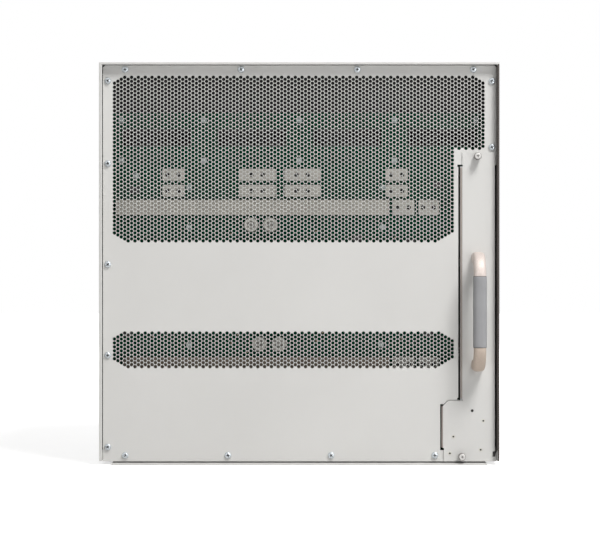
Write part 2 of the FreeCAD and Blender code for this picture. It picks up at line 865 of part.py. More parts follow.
def make_terminals():
    """The tinned terminal plates above the busbars and at their ends, and the power studs."""
    span_y = (board_back - size("busbar_sheet"), board_back)
    pieces = []
    for row, low in enumerate(terminal_rows):
        for number, shares in enumerate(TERMINAL_SHARES):
            pieces.append(block(f"terminal_{row}_{number}", board_span(shares), span_y,
                                (low, low + size("tab_height"))))
    for row, low in (("upper", upper_bar_low), ("lower", lower_bar_low)):
        for number, shares in enumerate(BAR_END_SHARES):
            pieces.append(block(f"terminal_{row}_{number}", board_span(shares), span_y,
                                (low, low + size("busbar_height"))))
        for number, x in enumerate(board_span(STUD_SHARES[row])):
            pieces.append(prism(
                f"power_stud_{row}_{number}", (x, board_back - size("stud_height"), stud_rows[row]),
                size("stud_size"), size("stud_height"), "y", 12,
            ))
    keep("terminal_plates", group("terminal_plates", *pieces))


def make_board_screws():
    """The screws that hold the board to the partition and the guides."""
    pitch = size("power_pitch_x")
    columns = (-2 * pitch + 14.2, -pitch, Length.of(0), pitch, 2 * pitch - 15.2)
    places = [(x, board_high - 12) for x in columns]
    places += [(x, bay_low + 6.5) for x in columns[:4]]
    far_left, left, right = board_span((0.077, 0.231, 0.786))
    places += [(far_left, shelf_low - 9.6), (left, shelf_low - 22.4), (left, shelf_low - 67.1),
               (right, shelf_low - 22.4), (right, shelf_low - 66.5), (left, lower_bar_low + 30),
               (right, lower_bar_low + 30.8)]
    height = size("board_screw_height")
    heads = [prism(f"board_screw_{k}", (x, board_back - height, z), size("board_screw"), height, "y", 6)
             for k, (x, z) in enumerate(places)]
    keep("board_screws", group("board_screws", *heads))


# ---------------------------------------------------------------- power bays

def make_power_bays():
    """Shelf, partition and roof of the power bays; the partition is welded up from flat pieces."""
    keep("power_shelf", block("power_shelf", (-inner_x, inner_x), (board_front, face_front),
                              (shelf_low, bay_low)))
    keep("power_bay_roof", block("power_bay_roof", (-inner_x, inner_x), (board_front, face_front),
                                 (bay_high, roof_high)))
    thin = size("bay_sheet")
    half = thin / 2
    outer = 2 * size("power_pitch_x")
    storeys = {"low": (bay_low, bay_floor(1) - thin), "high": (bay_floor(1), bay_high)}
    tabs = {"low": (bay_low, bay_low + size("tab_rise")), "high": (bay_floor(1), board_high - 1)}
    pieces = [block("bay_middle_shelf", (-outer - half, outer + half), (board_front + thin, face_back),
                    (bay_floor(1) - thin, bay_floor(1)))]
    for column in range(POWER_COLUMNS + 1):
        x = bay_left(column)
        reach = size("tab_reach")
        left = x - half if column == 0 else x - reach
        right = x + half if column == POWER_COLUMNS else x + reach
        if column == 0:
            right = x + 2 * reach
        if column == POWER_COLUMNS:
            left = x - 2 * reach
        for storey in ("low", "high"):
            pieces.append(block(f"bay_divider_{column}_{storey}", (x - half, x + half),
                                (board_front + thin, face_back), storeys[storey]))
            pieces.append(block(f"bay_tab_{column}_{storey}", (left, right),
                                (board_front, board_front + thin), tabs[storey]))
    for side in (-1, 1):
        near, far = side * (outer + half), side * inner_x
        pieces.append(block(f"bay_wing_{side + 1}", (far, near) if side < 0 else (near, far),
                            (face_back - thin, face_back), (bay_low, bay_high)))
    keep("power_bay_partition", group("power_bay_partition", *pieces))


def supply_span(column):
    half = size("bay_sheet") / 2
    left = bay_left(column) + half + size("supply_side_gap")
    return left, left + size("power_pitch_x") - size("bay_sheet") - 2 * size("supply_side_gap")


def make_supply(number, row, column):
    """A power supply: closed housing with a mains inlet, a moulded pull and a sliding release latch."""
    name = f"power_supply_{number}"
    margin, travel = size("supply_margin"), size("latch_travel")
    left, right = supply_span(column)
    low = bay_floor(row) + gap
    high = low + size("supply_height")
    middle = (low + high) / 2
    housing = block(f"{name}_housing", (left, right), (mating_y, face_front), (low, high))
    half_inlet = size("inlet_height") / 2
    inlet = block(
        f"{name}_inlet", (left + margin, left + margin + size("inlet_width")),
        (face_front - size("inlet_depth"), face_front + 1), (middle - half_inlet, middle + half_inlet),
    )
    pull_left, pull_right = right - margin - size("pull_width"), right - margin
    bar = size("pull_sheet")
    bottom, top = low + travel, high - travel
    pull = cut(
        f"{name}_pull",
        block(f"{name}_pull_bar", (pull_left, pull_right), (face_front, face_front + size("pull_reach")),
              (bottom, top)),
        block(f"{name}_pull_gap", (pull_left - 1, pull_right + 1),
              (face_front, face_front + size("pull_reach") - bar), (bottom + bar, top - bar)),
    )
    depth, width, half_latch = size("latch_depth"), size("latch_width"), size("latch_height") / 2
    latch_left = pull_left - width - travel - bar
    pocket = block(f"{name}_latch_pocket", (latch_left, latch_left + width + travel + gap),
                   (face_front - depth, face_front + 1), (middle - half_latch - gap, middle + half_latch + gap))
    keep(name, fuse(name, cut(f"{name}_body", housing, inlet, pocket), pull))
    tab = block(f"{name}_latch_tab", (latch_left, latch_left + width),
                (face_front - depth + gap, face_front - 1), (middle - half_latch, middle + half_latch))
    grip = block(f"{name}_latch_grip", (latch_left, latch_left + width / 3),
                 (face_front - 1, face_front + depth - 1), (middle - half_latch, middle + half_latch))
    keep(f"{name}_latch", fuse(f"{name}_latch", tab, grip))


def make_bay_blanks():
    """Plain covers of the lower bays."""
    covers = []
    for column in range(POWER_COLUMNS):
        left, right = supply_span(column)
        low = bay_floor(0) + gap
        high = low + size("supply_height")
        thin = size("face_sheet") / 2
        face = block(f"bay_blank_face_{column}", (left, right), (face_back, face_front), (low, high))
        lips = [
            block(f"bay_blank_lip_{column}_{k}", (x, x + thin), (face_back - size("bay_lip_depth"), face_back),
                  (low + 2, high - 2))
            for k, x in enumerate((left, right - thin))
        ]
        covers.append(fuse(f"bay_blank_{column}", face, *lips))
    keep("power_bay_blanks", group("power_bay_blanks", *covers))


def make_front_fillers():
    """The bezel above the power bays and the plate in front of the fan bay."""
    thin = size("bay_sheet")
    bezel = block("bezel_face", (-inner_x + loose, inner_x - loose), (face_back, face_front),
                  (roof_high, cover_low - wall - loose))
    lip = block("bezel_lip", (-inner_x + loose, inner_x - loose), (face_back - 14, face_back),
                (roof_high, roof_high + thin))
    keep("front_top_bezel", fuse("front_top_bezel", bezel, lip))
    face = block("fan_bay_face", (face_right + loose, inner_x - loose), (face_back, face_front),
                 (cage_low, cage_high))
    edge = block("fan_bay_edge", (inner_x - loose - thin, inner_x - loose), (face_back - 12, face_back),
                 (cage_low, cage_high))
    keep("fan_bay_front_plate", fuse("fan_bay_front_plate", face, edge))


# ---------------------------------------------------------------- fan tray

def fan_centres():
    """(y, z) of each fan, row by row."""
    middle_y = (panel_back + tray_front) / 2
    middle_z = (tray_low + tray_high) / 2
    return [
        (middle_y + (column - (FAN_COLUMNS - 1) / 2) * size("fan_pitch_y"),
         middle_z + (row - (FAN_ROWS - 1) / 2) * size("fan_pitch_z"))
        for row in range(FAN_ROWS)
        for column in range(FAN_COLUMNS)
    ]


def make_fan_tray_case():
    """The tray's plates, spot-welded into a pan that is open towards the cards."""
    thin = size("tray_sheet")
    inside = tray_right - thin
    outer = block("tray_outer_plate", (inside, tray_right), (panel_back, tray_front), (tray_low, tray_high))
    bores = [prism(f"tray_bore_{number}", (inside - 1, y, z), size("fan_bore"), thin + 2, "x", 28)
             for number, (y, z) in enumerate(fan_centres())]
    between = (panel_back + thin, tray_front - thin)
    keep("fan_tray_case", group(
        "fan_tray_case",
        cut("tray_side", outer, *bores),
        block("tray_rear", (tray_left, inside), (panel_back, panel_back + thin), (tray_low, tray_high)),
        block("tray_front", (tray_left, inside), (tray_front - thin, tray_front), (tray_low, tray_high)),
        block("tray_bottom", (tray_left, inside), between, (tray_low, tray_low + thin)),
        block("tray_top", (tray_left, inside), between, (tray_high - thin, tray_high)),
        block("tray_foot", (foot_left + panel, tray_left), (panel_back, panel_back + thin),
              (tray_low + size("foot_clearance"), foot_shoulder)),
    ))


def make_fan_frames():
    """The fans' square frames, each four mitred bars round a many-sided bore, with the motor's seat on struts."""
    inside = tray_right - size("tray_sheet")
    half, bore = size("fan_size") / 2, size("fan_bore") / 2
    span_x = (inside - size("fan_depth"), inside)
    strut, strut_x = size("strut_width") / 2, (inside - size("strut_depth"), inside)
    steps = 7
    turns = [math.radians(FULL_TURN / 4 * (k / steps - 0.5)) for k in range(steps + 1)]
    radius = bore / math.cos(math.radians(FULL_TURN / 8 / steps))
    frames = []
    for number, (y, z) in enumerate(fan_centres()):
        for quarter in range(4):
            across, up = ((1, 0), (0, 1), (-1, 0), (0, -1))[quarter]
            corners = [(half, half), (half, -half)]
            arc = [(radius * math.cos(turn), radius * math.sin(turn)) for turn in turns]
            points = [(y + across * a - up * b, z + up * a + across * b) for a, b in arc + corners]
            frames.append(plate(f"fan_bar_{number}_{quarter}", "YZ", points, *span_x))
        frames.append(fuse(
            f"fan_spider_{number}",
            prism(f"fan_seat_{number}", (strut_x[0], y, z), size("fan_hub") * 0.9, size("strut_depth"), "x"),
            block(f"fan_strut_across_{number}", strut_x, (y - bore, y + bore), (z - strut, z + strut)),
            block(f"fan_strut_up_{number}", strut_x, (y - strut, y + strut), (z - bore, z + bore)),
        ))
    keep("fan_frames", group("fan_frames", *frames))


def make_fan_rotors():
    """The impellers: a hub with flat blades, each blade leaning across the hub's depth."""
    depth = size("fan_depth") - 9
    left = tray_right - size("tray_sheet") - 3 - gap - depth
    lean = size("blade_sweep").value
    tip = math.sqrt((size("fan_bore").value / 2 - 2 * size("seat_gap").value) ** 2 - lean ** 2)
    thick = size("blade_sheet").value
    far = depth.value - 2
    for number, (y, z) in enumerate(fan_centres(), start=1):
        hub = prism(f"rotor_hub_{number}", (0, 0, 0), size("fan_hub"), depth, "x", 2 * BLADES)
        section = Part.Face(Part.makePolygon([
            Vector(2, -lean, 0), Vector(2, thick - lean, 0), Vector(far, lean, 0), Vector(far, lean - thick, 0),
            Vector(2, -lean, 0)]))
        blade = section.extrude(Vector(0, 0, tip))
        blades = doc.addObject("Part::Feature", f"rotor_blades_{number}")
        blades.Shape = Part.makeCompound([
            blade.rotated(Vector(), Vector(1, 0, 0), FULL_TURN / BLADES * k) for k in range(BLADES)])
        rotor = fuse(f"fan_rotor_{number}", hub, blades)
        for key, place in zip("xyz", (left, y, z)):
            bind(rotor, f"Placement.Base.{key}", place)
        keep(f"fan_rotor_{number}", rotor)


def make_fan_tray_cover():
    """The tray's rear cover: it laps over the panel above and below, and folds in along its sides."""
    lip_low = pan_low + 0.1
    lip_left, lap_left = foot_left + gap + loose, tray_left + size("knob_offset")
    fold = size("foot_corner")
    points = [
        (lip_left, lip_low), (tray_right, lip_low), (tray_right, lip_high), (lap_left, lip_high),
        (lap_left, tray_high), (tray_left, tray_high), (tray_left, foot_high), (foot_left + fold, foot_high),
        (foot_left, foot_shoulder), (foot_left, tray_low), (lip_left, tray_low),
    ]
    face = plate("tray_cover_face", "XZ", points, cover_back, panel_back)
    depth = (panel_back, panel_back + size("flange_depth"))
    sides = [
        block("tray_flange_foot", (foot_left, foot_left + panel), depth, (tray_low, foot_shoulder)),
        block("tray_flange_foot_top", (foot_left + fold, tray_left - gap), depth,
              (foot_high - panel, foot_high)),
    ]
    holes = [prism(f"tray_cover_hole_{k}", (x, cover_back - 1, z), size("shank_size") + 2 * gap, panel + 2, "y")
             for k, (x, z) in enumerate(thumbscrew_places())]
    keep("fan_tray_cover", cut("fan_tray_cover", fuse("tray_cover_folded", face, *sides), *holes))


def make_thumbscrews():
    """The captive screws, each a knob with its shank through cover and panel."""
    for (x, z), word in zip(thumbscrew_places(), ("upper", "lower")):
        knob = prism(f"knob_{word}", (x, cover_back - size("knob_length"), z), size("knob_size"),
                     size("knob_length"), "y", 16)
        shank = prism(f"shank_{word}", (x, cover_back, z), size("shank_size") * 0.92, 2 * panel, "y")
        keep(f"fan_tray_thumbscrew_{word}", fuse(f"fan_tray_thumbscrew_{word}", knob, shank))


def ring(centre, radius, outward):
    """Twelve corners round a centre, in the plane of the X axis and the outward direction."""
    turns = [math.radians(FULL_TURN / 12 * k) for k in range(12)]
    return [centre + Vector(math.sin(turn), 0, 0) * radius + outward * (math.cos(turn) * radius) for turn in turns]


def skin(rings):
    """The closed solid through a row of rings, flat from each to the next."""
    faces = [Part.Face(Part.makePolygon(end + end[:1])) for end in (rings[0], rings[-1])]
    for near, far in zip(rings, rings[1:]):
        for k in range(len(near)):
            corners = [near[k - 1], near[k], far[k], far[k - 1]]
            faces.append(Part.Face(Part.makePolygon(corners + corners[:1])))
    solid = Part.Solid(Part.Shell(faces))
    if solid.Volume < 0:
        solid.reverse()
    return solid


def make_handle():
    """The bow handle of bent rod and the sleeve round its straight."""
    x = ((tray_left + tray_right) / 2).value + gap.value
    radius = size("handle_rod").value / 2
    bend = size("handle_bend").value
    half = size("handle_span").value / 2
    middle = size("handle_middle").value
    foot_y = cover_back.value
    far_y = foot_y - size("handle_reach").value + radius
    steps = 6
    up, back = Vector(0, 0, 1), Vector(0, -1, 0)
    rings = [ring(Vector(x, foot_y, middle + half), radius, up)]
    for end in (1, -1):
        centre = Vector(x, far_y + bend, middle + end * (half - bend))
        for step in range(steps + 1):
            angle = math.radians(90 * (step if end > 0 else steps - step) / steps)
            outward = back * math.sin(angle) + up * (end * math.cos(angle))
            rings.append(ring(centre + outward * bend, radius, outward))
    rings.append(ring(Vector(x, foot_y, middle - half), radius, up * -1))
    bow = doc.addObject("Part::Feature", "fan_tray_handle")
    bow.Shape = skin(rings)
    keep("fan_tray_handle", bow)

    reach = half - bend - size("grip_setback").value
    low, high = (Vector(x, far_y, middle + end * reach) for end in (-1, 1))
    outer = radius + size("grip_wall").value
    sleeve = doc.addObject("Part::Feature", "fan_tray_grip")
    sleeve.Shape = skin([ring(end, outer, back) for end in (low, high)]).cut(
        skin([ring(end, radius, back) for end in (low, high)]))
    keep("fan_tray_grip", sleeve)


def make_fan_connectors():
    """The tray's plug and the socket on the back of the board that it meets."""
    span_x = (foot_left + 3, board_right)
    span_z = (tray_low + 8, foot_high - 14)
    socket_back = board_back - size("bar_standoff")
    keep("fan_tray_connector", block("fan_tray_connector", span_x,
                                     (panel_back + size("tray_sheet"), socket_back), span_z))
    keep("fan_connector_socket", block("fan_connector_socket", span_x, (socket_back, board_back), span_z))


# ---------------------------------------------------------------- build

make_base_plate()
make_floor_pan()
make_top_cover()
make_side_wall("intake_side_wall", -1, tray_low)
make_side_wall("exhaust_side_wall", 1, notch_high + size("tray_lip"))
make_rear_panel()
make_rear_panel_screws()
make_card_guide("card_guide_intake", -1)
make_card_guide("card_guide_exhaust", 1)
make_backplane_board()
make_board_screws()
make_busbar("upper_busbar", upper_bar_low)
make_busbar("lower_busbar", lower_bar_low)
make_terminals()
make_slot_connectors()
make_power_connectors()
make_power_bays()
make_bay_blanks()
make_front_fillers()
make_slot_blanks()
for order, number in enumerate(SUPERVISOR_SLOTS, start=1):
    make_card(f"supervisor_{order}", number, SUPERVISOR_PORTS)
for order, number in enumerate(LINE_CARD_SLOTS, start=1):
    make_card(f"line_card_{order}", number, LINE_CARD_PORTS)
for supply_column in range(POWER_COLUMNS):
    make_supply(supply_column + 1, 1, supply_column)
make_fan_tray_case()
make_fan_frames()
make_fan_tray_cover()
make_fan_rotors()
make_thumbscrews()
make_handle()
make_fan_connectors()
doc.recompute()

faults = [obj.Name for obj in doc.Objects if "Invalid" in obj.State or "Error" in obj.State]
faults += [name for name, obj in parts.items() if obj.Shape.isNull() or not obj.Shape.isValid()]
if faults:
    raise RuntimeError(f"objects that failed: {faults}")

os.makedirs("parts", exist_ok=True)
for name, obj in parts.items():
    obj.Shape.exportStep(f"parts/{name}.step")
print(f"{len(parts)} sub-parts written")
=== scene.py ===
"""Looks of the modular switch chassis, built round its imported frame.

Sizes in this file are millimetres in the part's own frame and become metres as each mesh is made.
"""

import math

import bmesh
import bpy
import numpy as np
from mathutils import Matrix, Vector
from mathutils.geometry import delaunay_2d_cdt


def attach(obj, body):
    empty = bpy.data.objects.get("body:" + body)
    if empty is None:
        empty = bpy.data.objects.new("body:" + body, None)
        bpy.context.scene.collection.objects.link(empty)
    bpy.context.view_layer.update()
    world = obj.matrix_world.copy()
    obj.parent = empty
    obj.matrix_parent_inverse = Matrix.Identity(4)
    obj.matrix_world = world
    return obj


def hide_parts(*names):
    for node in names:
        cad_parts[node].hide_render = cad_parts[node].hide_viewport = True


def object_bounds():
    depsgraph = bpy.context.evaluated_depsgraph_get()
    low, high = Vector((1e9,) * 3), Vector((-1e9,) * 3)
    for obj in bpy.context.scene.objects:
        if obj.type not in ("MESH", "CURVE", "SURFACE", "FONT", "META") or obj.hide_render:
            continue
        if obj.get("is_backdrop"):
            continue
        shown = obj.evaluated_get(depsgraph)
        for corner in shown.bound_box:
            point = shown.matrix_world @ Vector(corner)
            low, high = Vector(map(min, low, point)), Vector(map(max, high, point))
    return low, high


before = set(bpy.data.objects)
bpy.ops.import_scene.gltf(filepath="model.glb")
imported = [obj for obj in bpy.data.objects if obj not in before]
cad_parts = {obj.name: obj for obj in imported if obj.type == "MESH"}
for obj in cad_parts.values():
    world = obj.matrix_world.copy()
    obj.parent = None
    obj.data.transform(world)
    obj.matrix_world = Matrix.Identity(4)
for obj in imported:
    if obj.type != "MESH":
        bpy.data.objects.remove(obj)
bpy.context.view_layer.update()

MM = 0.001
SHARP = math.radians(32)           # an edge that turns further stays hard
WELD = 1e-7                        # metres

scene = bpy.context.scene


def link(obj):
    scene.collection.objects.link(obj)
    return obj


# ---- camera

SIGHT_X, SIGHT_Z = 0.9, 209.9      # where the line of sight meets the rear
VIEW_DISTANCE = 2400               # from the rear edges of the walls
REAR_EDGE_Y = -207
WIDTH_IN_VIEW = 658.2              # across the picture, at the rear edges of the walls
SENSOR = 36
CLIP_NEAR, CLIP_FAR = 0.05, 60     # metres

camera = link(bpy.data.objects.new("camera", bpy.data.cameras.new("camera")))
scene.camera = camera
camera.data.sensor_width = SENSOR
camera.data.lens = SENSOR * VIEW_DISTANCE / WIDTH_IN_VIEW
camera.location = (SIGHT_X * MM, (REAR_EDGE_Y - VIEW_DISTANCE) * MM, SIGHT_Z * MM)
camera.rotation_euler = (math.pi / 2, 0, 0)
camera.data.clip_start, camera.data.clip_end = CLIP_NEAR, CLIP_FAR


# ---- materials

class Graph:
    """A node tree with a short way to add nodes."""

    def __init__(self, owner):
        owner.use_nodes = True
        self.tree = owner.node_tree
        self.tree.nodes.clear()

    def add(self, kind, inputs=None, out=0, **settings):
        """An output of a new node; its inputs are values or other nodes' outputs, by place or name."""
        node = self.tree.nodes.new("ShaderNode" + kind)
        for key, value in settings.items():
            setattr(node, key, value)
        for key, value in (inputs or {}).items():
            if isinstance(value, bpy.types.NodeSocket):
                self.tree.links.new(value, node.inputs[key])
            else:
                node.inputs[key].default_value = value
        return node.outputs[out] if node.outputs else None

    def math(self, operation, first, second=0):
        return self.add("Math", {0: first, 1: second}, operation=operation)


class Look(Graph):
    """A procedural material: textures drive its colour, roughness and relief."""

    def __init__(self, name, metallic=0, specular=0.5):
        self.material = bpy.data.materials.new(name)
        super().__init__(self.material)
        self.shine = {"Metallic": metallic, "Specular IOR Level": specular}
        self.place = self.add("TexCoord", out="Object")

    def along(self, axis):
        return self.add("SeparateXYZ", {0: self.place}, axis)

    def noise(self, scale, detail=2, stretch=None):
        place = self.place
        if stretch:
            place = self.add("Mapping", {"Vector": place, "Scale": stretch})
        return self.add("TexNoise", {"Vector": place, "Scale": scale, "Detail": detail})

    def cells(self, scale, output="Color"):
        return self.add("TexVoronoi", {"Vector": self.place, "Scale": scale}, output)

    def spread(self, factor, low=0, high=1, start=0.3, end=0.7):
        """A factor between start and end laid out from low to high."""
        return self.add("MapRange", {
            "Value": factor, "From Min": start, "From Max": end, "To Min": low, "To Max": high})

    def blend(self, factor, first, second):
        return self.add("Mix", {0: factor, 6: first, 7: second}, 2, data_type="RGBA")

    def clouded(self, colour, low, high, scale, detail):
        return self.blend(self.spread(self.noise(scale, detail)), tint(colour, low), tint(colour, high))

    def varied(self, value, below, above, scale, detail=2):
        return self.spread(self.noise(scale, detail), value - below, value + above)

    def finish(self, colour, roughness, reliefs=(), edge=0):
        """The finished material; reliefs are (height, depth, strength), with depth and edge in metres."""
        normal = {"Normal": self.add("Bevel", {"Radius": edge}, samples=4)} if edge else {}
        for height, depth, strength in reliefs:
            bump = {"Height": height, "Distance": depth, "Strength": strength, **normal}
            normal = {"Normal": self.add("Bump", bump)}
        inputs = {**self.shine, "Base Color": colour, "Roughness": roughness, **normal}
        self.add("OutputMaterial", {0: self.add("BsdfPrincipled", inputs)})
        return self.material


def tint(colour, factor=1):
    return tuple(min(1, c * factor) for c in colour) + (1,)


def painted(name, colour, roughness=0.5, grain=1, dark_band=None):
    """Powder coat with orange peel; the last argument is a band along Y painted in its own colour instead:
    (start, end, colour).
    """
    look = Look(name, specular=0.4)
    base = look.clouded(colour, 0.98, 1.02, 9, 4)
    base = look.blend(look.math("MULTIPLY", look.spread(look.noise(1400)), 0.2), base, tint(colour, 0.95))
    if dark_band:
        start, end, band_colour = dark_band
        inside = look.math("MULTIPLY", look.math("GREATER_THAN", look.along(1), start),
                           look.math("LESS_THAN", look.along(1), end))
        base = look.blend(inside, base, tint(band_colour))
    return look.finish(base, look.varied(roughness, 0.05, 0.06, 60, 3), [
        (look.noise(750), 0.00003, 0.2 * grain), (look.noise(2600, 1), 0.000015, 0.2 * grain)], 0.0004)


def plated(name, colour, roughness, metallic=1, brush=(1, 1, 1)):
    """Plated or turned metal: fine marks along one axis and a cloudy shine."""
    look = Look(name, metallic=metallic)
    base = look.clouded(colour, 0.94, 1.04, 45, 4)
    marks = look.noise(900, 4, stretch=brush)
    rough = look.math("ADD", look.varied(roughness, 0.06, 0.08, 80, 3), look.math("MULTIPLY", marks, 0.08))
    return look.finish(base, rough, [(marks, 0.00002, 0.35)], 0.0003)


def satin_bow(name, upper, lower, heights):
    """Satin plate with lengthwise brush marks; its tone changes up the bow from a shaded lower colour to a
    lit upper one, painted light and shade.
    """
    look = Look(name, metallic=0.25, specular=0.4)
    # Painted light and shade: lighter towards the top, darker towards the bottom.
    rise = look.spread(look.along(2), 0, 1, *heights)
    marks = look.noise(1300, 4, stretch=(1, 1, 0.06))
    base = look.blend(rise, tint(lower), tint(upper))
    base = look.blend(look.spread(marks, 0, 0.5), base, tint(lower, 0.82))
    rough = look.math("ADD", 0.52, look.math("MULTIPLY", marks, 0.12))
    return look.finish(base, rough, [(marks, 0.00003, 0.5)], 0.0003)


def galvanised(name, colour):
    """Zinc-coated sheet with its spangle."""
    look = Look(name, metallic=0.35, specular=0.4)
    flakes = look.add("SeparateColor", {0: look.cells(170)}).node.outputs
    shade = look.spread(flakes[0], 0, 1, 0, 1)
    base = look.blend(shade, tint(colour, 0.86), tint(colour, 1.08))
    rough = look.spread(flakes[1], 0.5, 0.64, 0, 1)
    return look.finish(base, rough, [(look.noise(600, 3), 0.00003, 0.3)], 0.0004)


def moulded(name, colour, roughness, grain=0.5):
    """Moulded plastic with a fine spark-eroded grain."""
    look = Look(name)
    return look.finish(look.clouded(colour, 0.92, 1.08, 30, 3), look.varied(roughness, 0.05, 0.07, 300),
                       [(look.cells(2200, "Distance"), 0.00004, grain)], 0.0004)


def laminate(name, mask, copper):
    """Circuit board: solder mask over traces, with vias."""
    look = Look(name, specular=0.1)
    traces = []
    for stretch, waves, level in (((1, 1, 0.12), 70, 0.35), ((0.12, 1, 1), 60, 0.75)):
        wave = look.math("SINE", look.math("MULTIPLY", look.noise(95, 1, stretch), waves))
        traces.append(look.math("GREATER_THAN", wave, level))
    lines = look.math("MAXIMUM", *traces)
    vias = look.math("LESS_THAN", look.cells(260, "Distance"), 0.16)
    base = look.blend(look.math("MULTIPLY", lines, 0.55), tint(mask), tint(mask, 1.5))
    base = look.blend(vias, base, tint(copper))
    weave = look.noise(1200, 1)
    return look.finish(base, look.spread(weave, 0.5, 0.6), [(lines, 0.00006, 0.6), (weave, 0.00002, 0.3)])


GREY_PAINT = (0.64, 0.636, 0.622)
# Painted shade: a near-black band along Y on the faces hidden behind the rear panel, seen through its holes.
HIDDEN_FACE_SHADE = (-0.197, -0.196, (0.012, 0.012, 0.012))
# A dark brown band along the rear edges of the exhaust side wall.
DARK_EDGE = (-0.208, -0.2066, (0.07, 0.06, 0.055))
ACROSS, LENGTHWISE, DEEP = (0.1, 1, 1), (0.2, 1, 1), (1, 0.1, 1)       # ways of brush marks

LOOKS = {key: build(*values) for build, key, *values in (
    (painted, "sheet", "sheet_paint", GREY_PAINT),
    (painted, "shell", "shell_paint", GREY_PAINT, 0.5, 1, HIDDEN_FACE_SHADE),
    (painted, "dark_edged", "dark_edged_paint", GREY_PAINT, 0.5, 1, DARK_EDGE),
    (painted, "face", "face_paint", (0.585, 0.59, 0.59), 0.44),
    (painted, "card_face", "card_face_paint", (0.52, 0.53, 0.54), 0.42, 0.8),
    # Painted shade: near-black for the deep exhaust space and the gap beside the fan tray cover.
    (painted, "baffle", "baffle_paint", (0.012, 0.011, 0.011), 0.7),
    (plated, "zinc", "zinc_plate", (0.6, 0.64, 0.67), 0.24),
    (plated, "dull_zinc", "dull_zinc_plate", (0.4, 0.46, 0.46), 0.4, 0.7),
    # Painted shade and reflection: a darker copy of the knob's nickel for its rim.
    (plated, "knob_rim", "knob_rim_nickel", (0.24, 0.23, 0.22), 0.45, 0.5),
    (plated, "knob", "knob_nickel", (0.6, 0.59, 0.575), 0.42, 0.5),
    (plated, "fin", "heat_sink_aluminium", (0.56, 0.57, 0.58), 0.4, 1, DEEP),
    (plated, "can", "capacitor_can", (0.7, 0.71, 0.72), 0.25),
    # Painted shade: brown-grey for the cover's folds as they look deep in the seams.
    (plated, "gasket", "gasket_strip", (0.36, 0.315, 0.29), 0.55, 0.2),
    (plated, "tin", "tin_plate", (0.66, 0.65, 0.6), 0.35, 1, LENGTHWISE),
    (plated, "cream", "terminal_tin", (0.5, 0.485, 0.44), 0.45, 0.15),
    (plated, "bar", "busbar_tinned_copper", (0.47, 0.45, 0.4), 0.45, 0.15, ACROSS),
    (plated, "bare_bar", "busbar_bare_copper", (0.16, 0.13, 0.1), 0.42, 0.4, ACROSS),
    # Painted shade: the tails darkened to dark green as they sit behind the perforation.
    (plated, "tail", "connector_tail", (0.03, 0.06, 0.045), 0.45, 0.5),
    (plated, "gold", "gold_contact", (0.78, 0.56, 0.22), 0.25),
    (plated, "port", "port_shell_steel", (0.66, 0.66, 0.65), 0.26),
    # The upper colour is painted lit and the lower painted in shade.
    (satin_bow, "handle", "handle_nickel", (0.7, 0.625, 0.595), (0.545, 0.455, 0.385), (0.125, 0.2)),
    (galvanised, "inner", "inner_galvanised", (0.46, 0.47, 0.475)),
    (galvanised, "supply", "supply_galvanised", (0.44, 0.45, 0.46)),
    # Painted shade: the backplane's mask, far darker than the cards' boards, for the shade behind the
    # perforation.
    (laminate, "board", "board_laminate", (0.0006, 0.038, 0.017), (0.012, 0.05, 0.024)),
    (laminate, "card_board", "card_laminate", (0.008, 0.075, 0.034), (0.34, 0.3, 0.12)),
    (moulded, "grip", "grip_sleeve", (0.29, 0.292, 0.302), 0.5, 0.35),
    # Painted shade: near-black for the floors of recesses, bores and holes, the rings at the grip's ends and
    # the sill corner.
    (moulded, "groove", "dark_ring", (0.02, 0.018, 0.017), 0.6, 0.2),
    # Painted shade: dark brown for the right wall's inner face in the gap.
    (moulded, "liner", "liner_strip", (0.05, 0.042, 0.038), 0.6, 0.2),
    (moulded, "epoxy", "component_epoxy", (0.02, 0.02, 0.022), 0.35, 0.3),
    (moulded, "ceramic", "component_ceramic", (0.26, 0.19, 0.12), 0.45, 0.2),
    (moulded, "connector", "connector_plastic", (0.03, 0.03, 0.032), 0.42),
    (moulded, "pale_connector", "connector_pale_plastic", (0.42, 0.4, 0.34), 0.5),
    (moulded, "lever", "lever_plastic", (0.045, 0.047, 0.052), 0.4, 0.6),
    (moulded, "fan", "fan_plastic", (0.014, 0.014, 0.015), 0.38, 0.3),
    (moulded, "latch", "latch_plastic", (0.2, 0.045, 0.035), 0.4, 0.4),
    # Black for the supply inlets; for vents and port floors also painted shade inside the holes.
    (moulded, "cavity", "port_cavity", (0.012, 0.012, 0.013), 0.6, 0.3),
    (moulded, "lamp", "lamp_lens", (0.1, 0.42, 0.12), 0.25, 0),
)}


# ---- mesh helpers

def closed_mesh(name, points, faces, smooth=False):
    """A mesh whose faces look outwards; a smooth one is welded and only its sharp edges stay hard."""
    mesh = bpy.data.meshes.new(name)
    mesh.from_pydata(points, [], faces)
    bm = bmesh.new()
    bm.from_mesh(mesh)
    if smooth:
        bmesh.ops.remove_doubles(bm, verts=bm.verts, dist=WELD)
    bmesh.ops.recalc_face_normals(bm, faces=bm.faces)
    if smooth:
        for face in bm.faces:
            face.smooth = True
        for edge in bm.edges:
            edge.smooth = edge.calc_face_angle(math.pi) < SHARP
    bm.to_mesh(mesh)
    bm.free()
    return mesh


def place_mesh(name, mesh, look, body="chassis", slot=None, replaces=()):
    """A piece that rides on a body and may stand in for CAD nodes."""
    obj = link(bpy.data.objects.new(name, mesh))
    mesh.materials.append(LOOKS[look])
    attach(obj, body)
    if replaces:
        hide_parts(*replaces)


def arc(x, z, radius, start, end, steps):
    """Points of an arc in the XZ plane; start and end are in quarters of a turn."""
    turns = [math.pi / 2 * (start + (end - start) * k / steps) for k in range(steps + 1)]
    return [(x + radius * math.cos(turn), z + radius * math.sin(turn)) for turn in turns]


def circle(x, z, radius, sides=20):
    return arc(x, z, radius, 0, 4, sides)[:-1]


